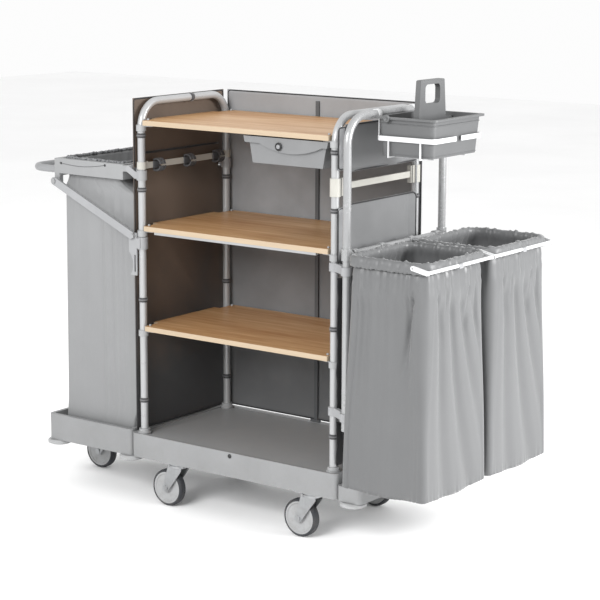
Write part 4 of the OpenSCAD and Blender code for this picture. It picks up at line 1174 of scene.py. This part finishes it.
# Two moulded beads round the caddy and a turned latch on its side
def makeCaddyTrim():
    caddyLow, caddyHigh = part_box("caddy")
    rimZ = caddyLow.z + caddyTrim["rim"]
    beads = []
    for down, inset, radius in caddyLines:
        spots = rimPath(caddyLow.x + inset, caddyHigh.x - inset, caddyLow.y + inset, caddyHigh.y - inset,
                        caddyTrim["corner"], 20, 8)[0]
        line = np.column_stack([spots, np.full(len(spots), rimZ - down)])
        beads.append(tubeMesh(line, radius, 8, True))
    addPiece("caddyBeads", *joinMeshes(beads), finish["caddy_plastic"], "caddy", "caddy_plastic")
    spot = (caddyLow.x + caddyTrim["latchIn"], caddyLow.y + 0.0005, rimZ - caddyTrim["latchDown"])
    addPiece("caddyLatch", *turnedMesh(latchShape, spot, (0, -1, 0)), finish["caddy_plastic"], "caddy",
             "caddy_plastic")


makeCaddyTrim()


# Dished cap and dark ring of the drawer's lock: shares of the barrel's radius, and heights
ringShape = [(0.99, -0.0002), (1.0, 0.0012), (0.93, 0.0028), (0.80, 0.0034), (0.70, 0.0022), (0.66, 0.0008)]
capShape = [(0.56, 0.0), (0.56, 0.0022), (0.46, 0.0040), (0.25, 0.0048), (0.02, 0.0050)]


def makeLockCap():
    low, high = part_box("drawer_lock")
    spot = ((low.x + high.x) / 2, low.y + 0.0004, (low.z + high.z) / 2)
    reach = (high.x - low.x) / 2
    ring = [(reach * share, height) for share, height in ringShape]
    cap = [(reach * share, height) for share, height in capShape]
    addPiece("lockRing", *turnedMesh(ring, spot, (0, -1, 0), 36), blackPlastic, "lock", "clip_rubber")
    addPiece("lockCap", *turnedMesh(cap, spot, (0, -1, 0), 30), finish["handle_paint"], "lock",
             "handle_paint")


makeLockCap()


def makeClampClips():
    for side in ("front", "back"):
        low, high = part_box("clamp_" + side)
        middle = (low.y + high.y) / 2
        z = low.z + 0.0055
        x = high.x - 0.007
        points, faces = softBlock((x - 0.0075, middle - 0.011, z - 0.0075),
                                  (x + 0.0068, middle + 0.011, z + 0.0075),
                                  0.0022)
        addPiece("clampClip" + side.capitalize(), points, faces, finish["bracket_grey"], "clamp_" + side,
                 "bracket_grey")


makeClampClips()
print("fittings made")


# Floor, light and camera

def makeFloor():
    mesh = bpy.data.meshes.new("floor")
    size = 14.0
    steps = 8
    line = np.linspace(-size, size, steps + 1)
    points = [(x, y, -0.0004) for y in line for x in line]
    faces = [(j * (steps + 1) + i, j * (steps + 1) + i + 1, (j + 1) * (steps + 1) + i + 1,
              (j + 1) * (steps + 1) + i)
             for j in range(steps) for i in range(steps)]
    mesh.from_pydata(points, [], faces)
    material, tree, shader = startMaterial("studioFloor")
    grainNode = placeGroup(tree, "mouldGrain", {"Grain size": 60.0, "Patch size": 0.8})
    tree.links.new(addMix(tree, between(tree, grainNode.outputs["Tone"], 0.0, 1.0), srgb(247, 247, 247),
                          srgb(252, 252, 252)), shader.inputs["Base Color"])
    tree.links.new(between(tree, grainNode.outputs["Rough"], 0.60, 0.75), shader.inputs["Roughness"])
    shader.inputs["Specular IOR Level"].default_value = 0.15
    mesh.materials.append(material)
    floor = bpy.data.objects.new("floor", mesh)
    bpy.context.scene.collection.objects.link(floor)


def addLamp(name, place, aim, size, power, colour=(1.0, 1.0, 1.0)):
    lamp = bpy.data.lights.new(name, "AREA")
    lamp.shape = "RECTANGLE"
    lamp.size, lamp.size_y = size
    lamp.energy = power
    lamp.color = colour
    holder = bpy.data.objects.new(name, lamp)
    bpy.context.scene.collection.objects.link(holder)
    holder.location = place
    holder.rotation_mode = "QUATERNION"
    holder.rotation_quaternion = (Vector(aim) - Vector(place)).to_track_quat("-Z", "Y")


studio = {"sky": 0.98, "key": 225.0, "front": 255.0}


def lightScene():
    world = bpy.data.worlds.new("studioSky")
    bpy.context.scene.world = world
    world.use_nodes = True
    sky = world.node_tree.nodes["Background"]
    sky.inputs["Color"].default_value = (1.0, 1.0, 1.0, 1.0)
    sky.inputs["Strength"].default_value = studio["sky"]
    addLamp("keyLamp", (4.0, 0.9, 1.9), (0.5, 0, 0.6), (0.9, 1.5), studio["key"])
    addLamp("frontLamp", (0.5, -4.7, 3.0), (0, 0, 0.7), (2.6, 1.8), studio["front"])
    bpy.context.scene.view_settings.view_transform = "Standard"


lens = {"place": (3.7995, -4.9245, 1.906), "yaw": 36.56, "pitch": 11.0, "roll": 0.21, "length": 115.14}


def makeCamera():
    yaw, pitch, roll = (math.radians(lens[key]) for key in ("yaw", "pitch", "roll"))
    ahead = Vector((-math.sin(yaw) * math.cos(pitch), math.cos(yaw) * math.cos(pitch), -math.sin(pitch)))
    right = Vector((math.cos(yaw), math.sin(yaw), 0))
    up = right.cross(ahead)
    rightTurned = right * math.cos(roll) + up * math.sin(roll)
    upTurned = up * math.cos(roll) - right * math.sin(roll)
    data = bpy.data.cameras.new("studioCamera")
    data.sensor_width = 36
    data.lens = lens["length"]
    data.clip_end = 100
    camera = bpy.data.objects.new("studioCamera", data)
    bpy.context.scene.collection.objects.link(camera)
    turn = Matrix((rightTurned, upTurned, -ahead)).transposed().to_4x4()
    camera.matrix_world = Matrix.Translation(lens["place"]) @ turn
    bpy.context.scene.camera = camera


makeFloor()
lightScene()
makeCamera()
print("stage ready")
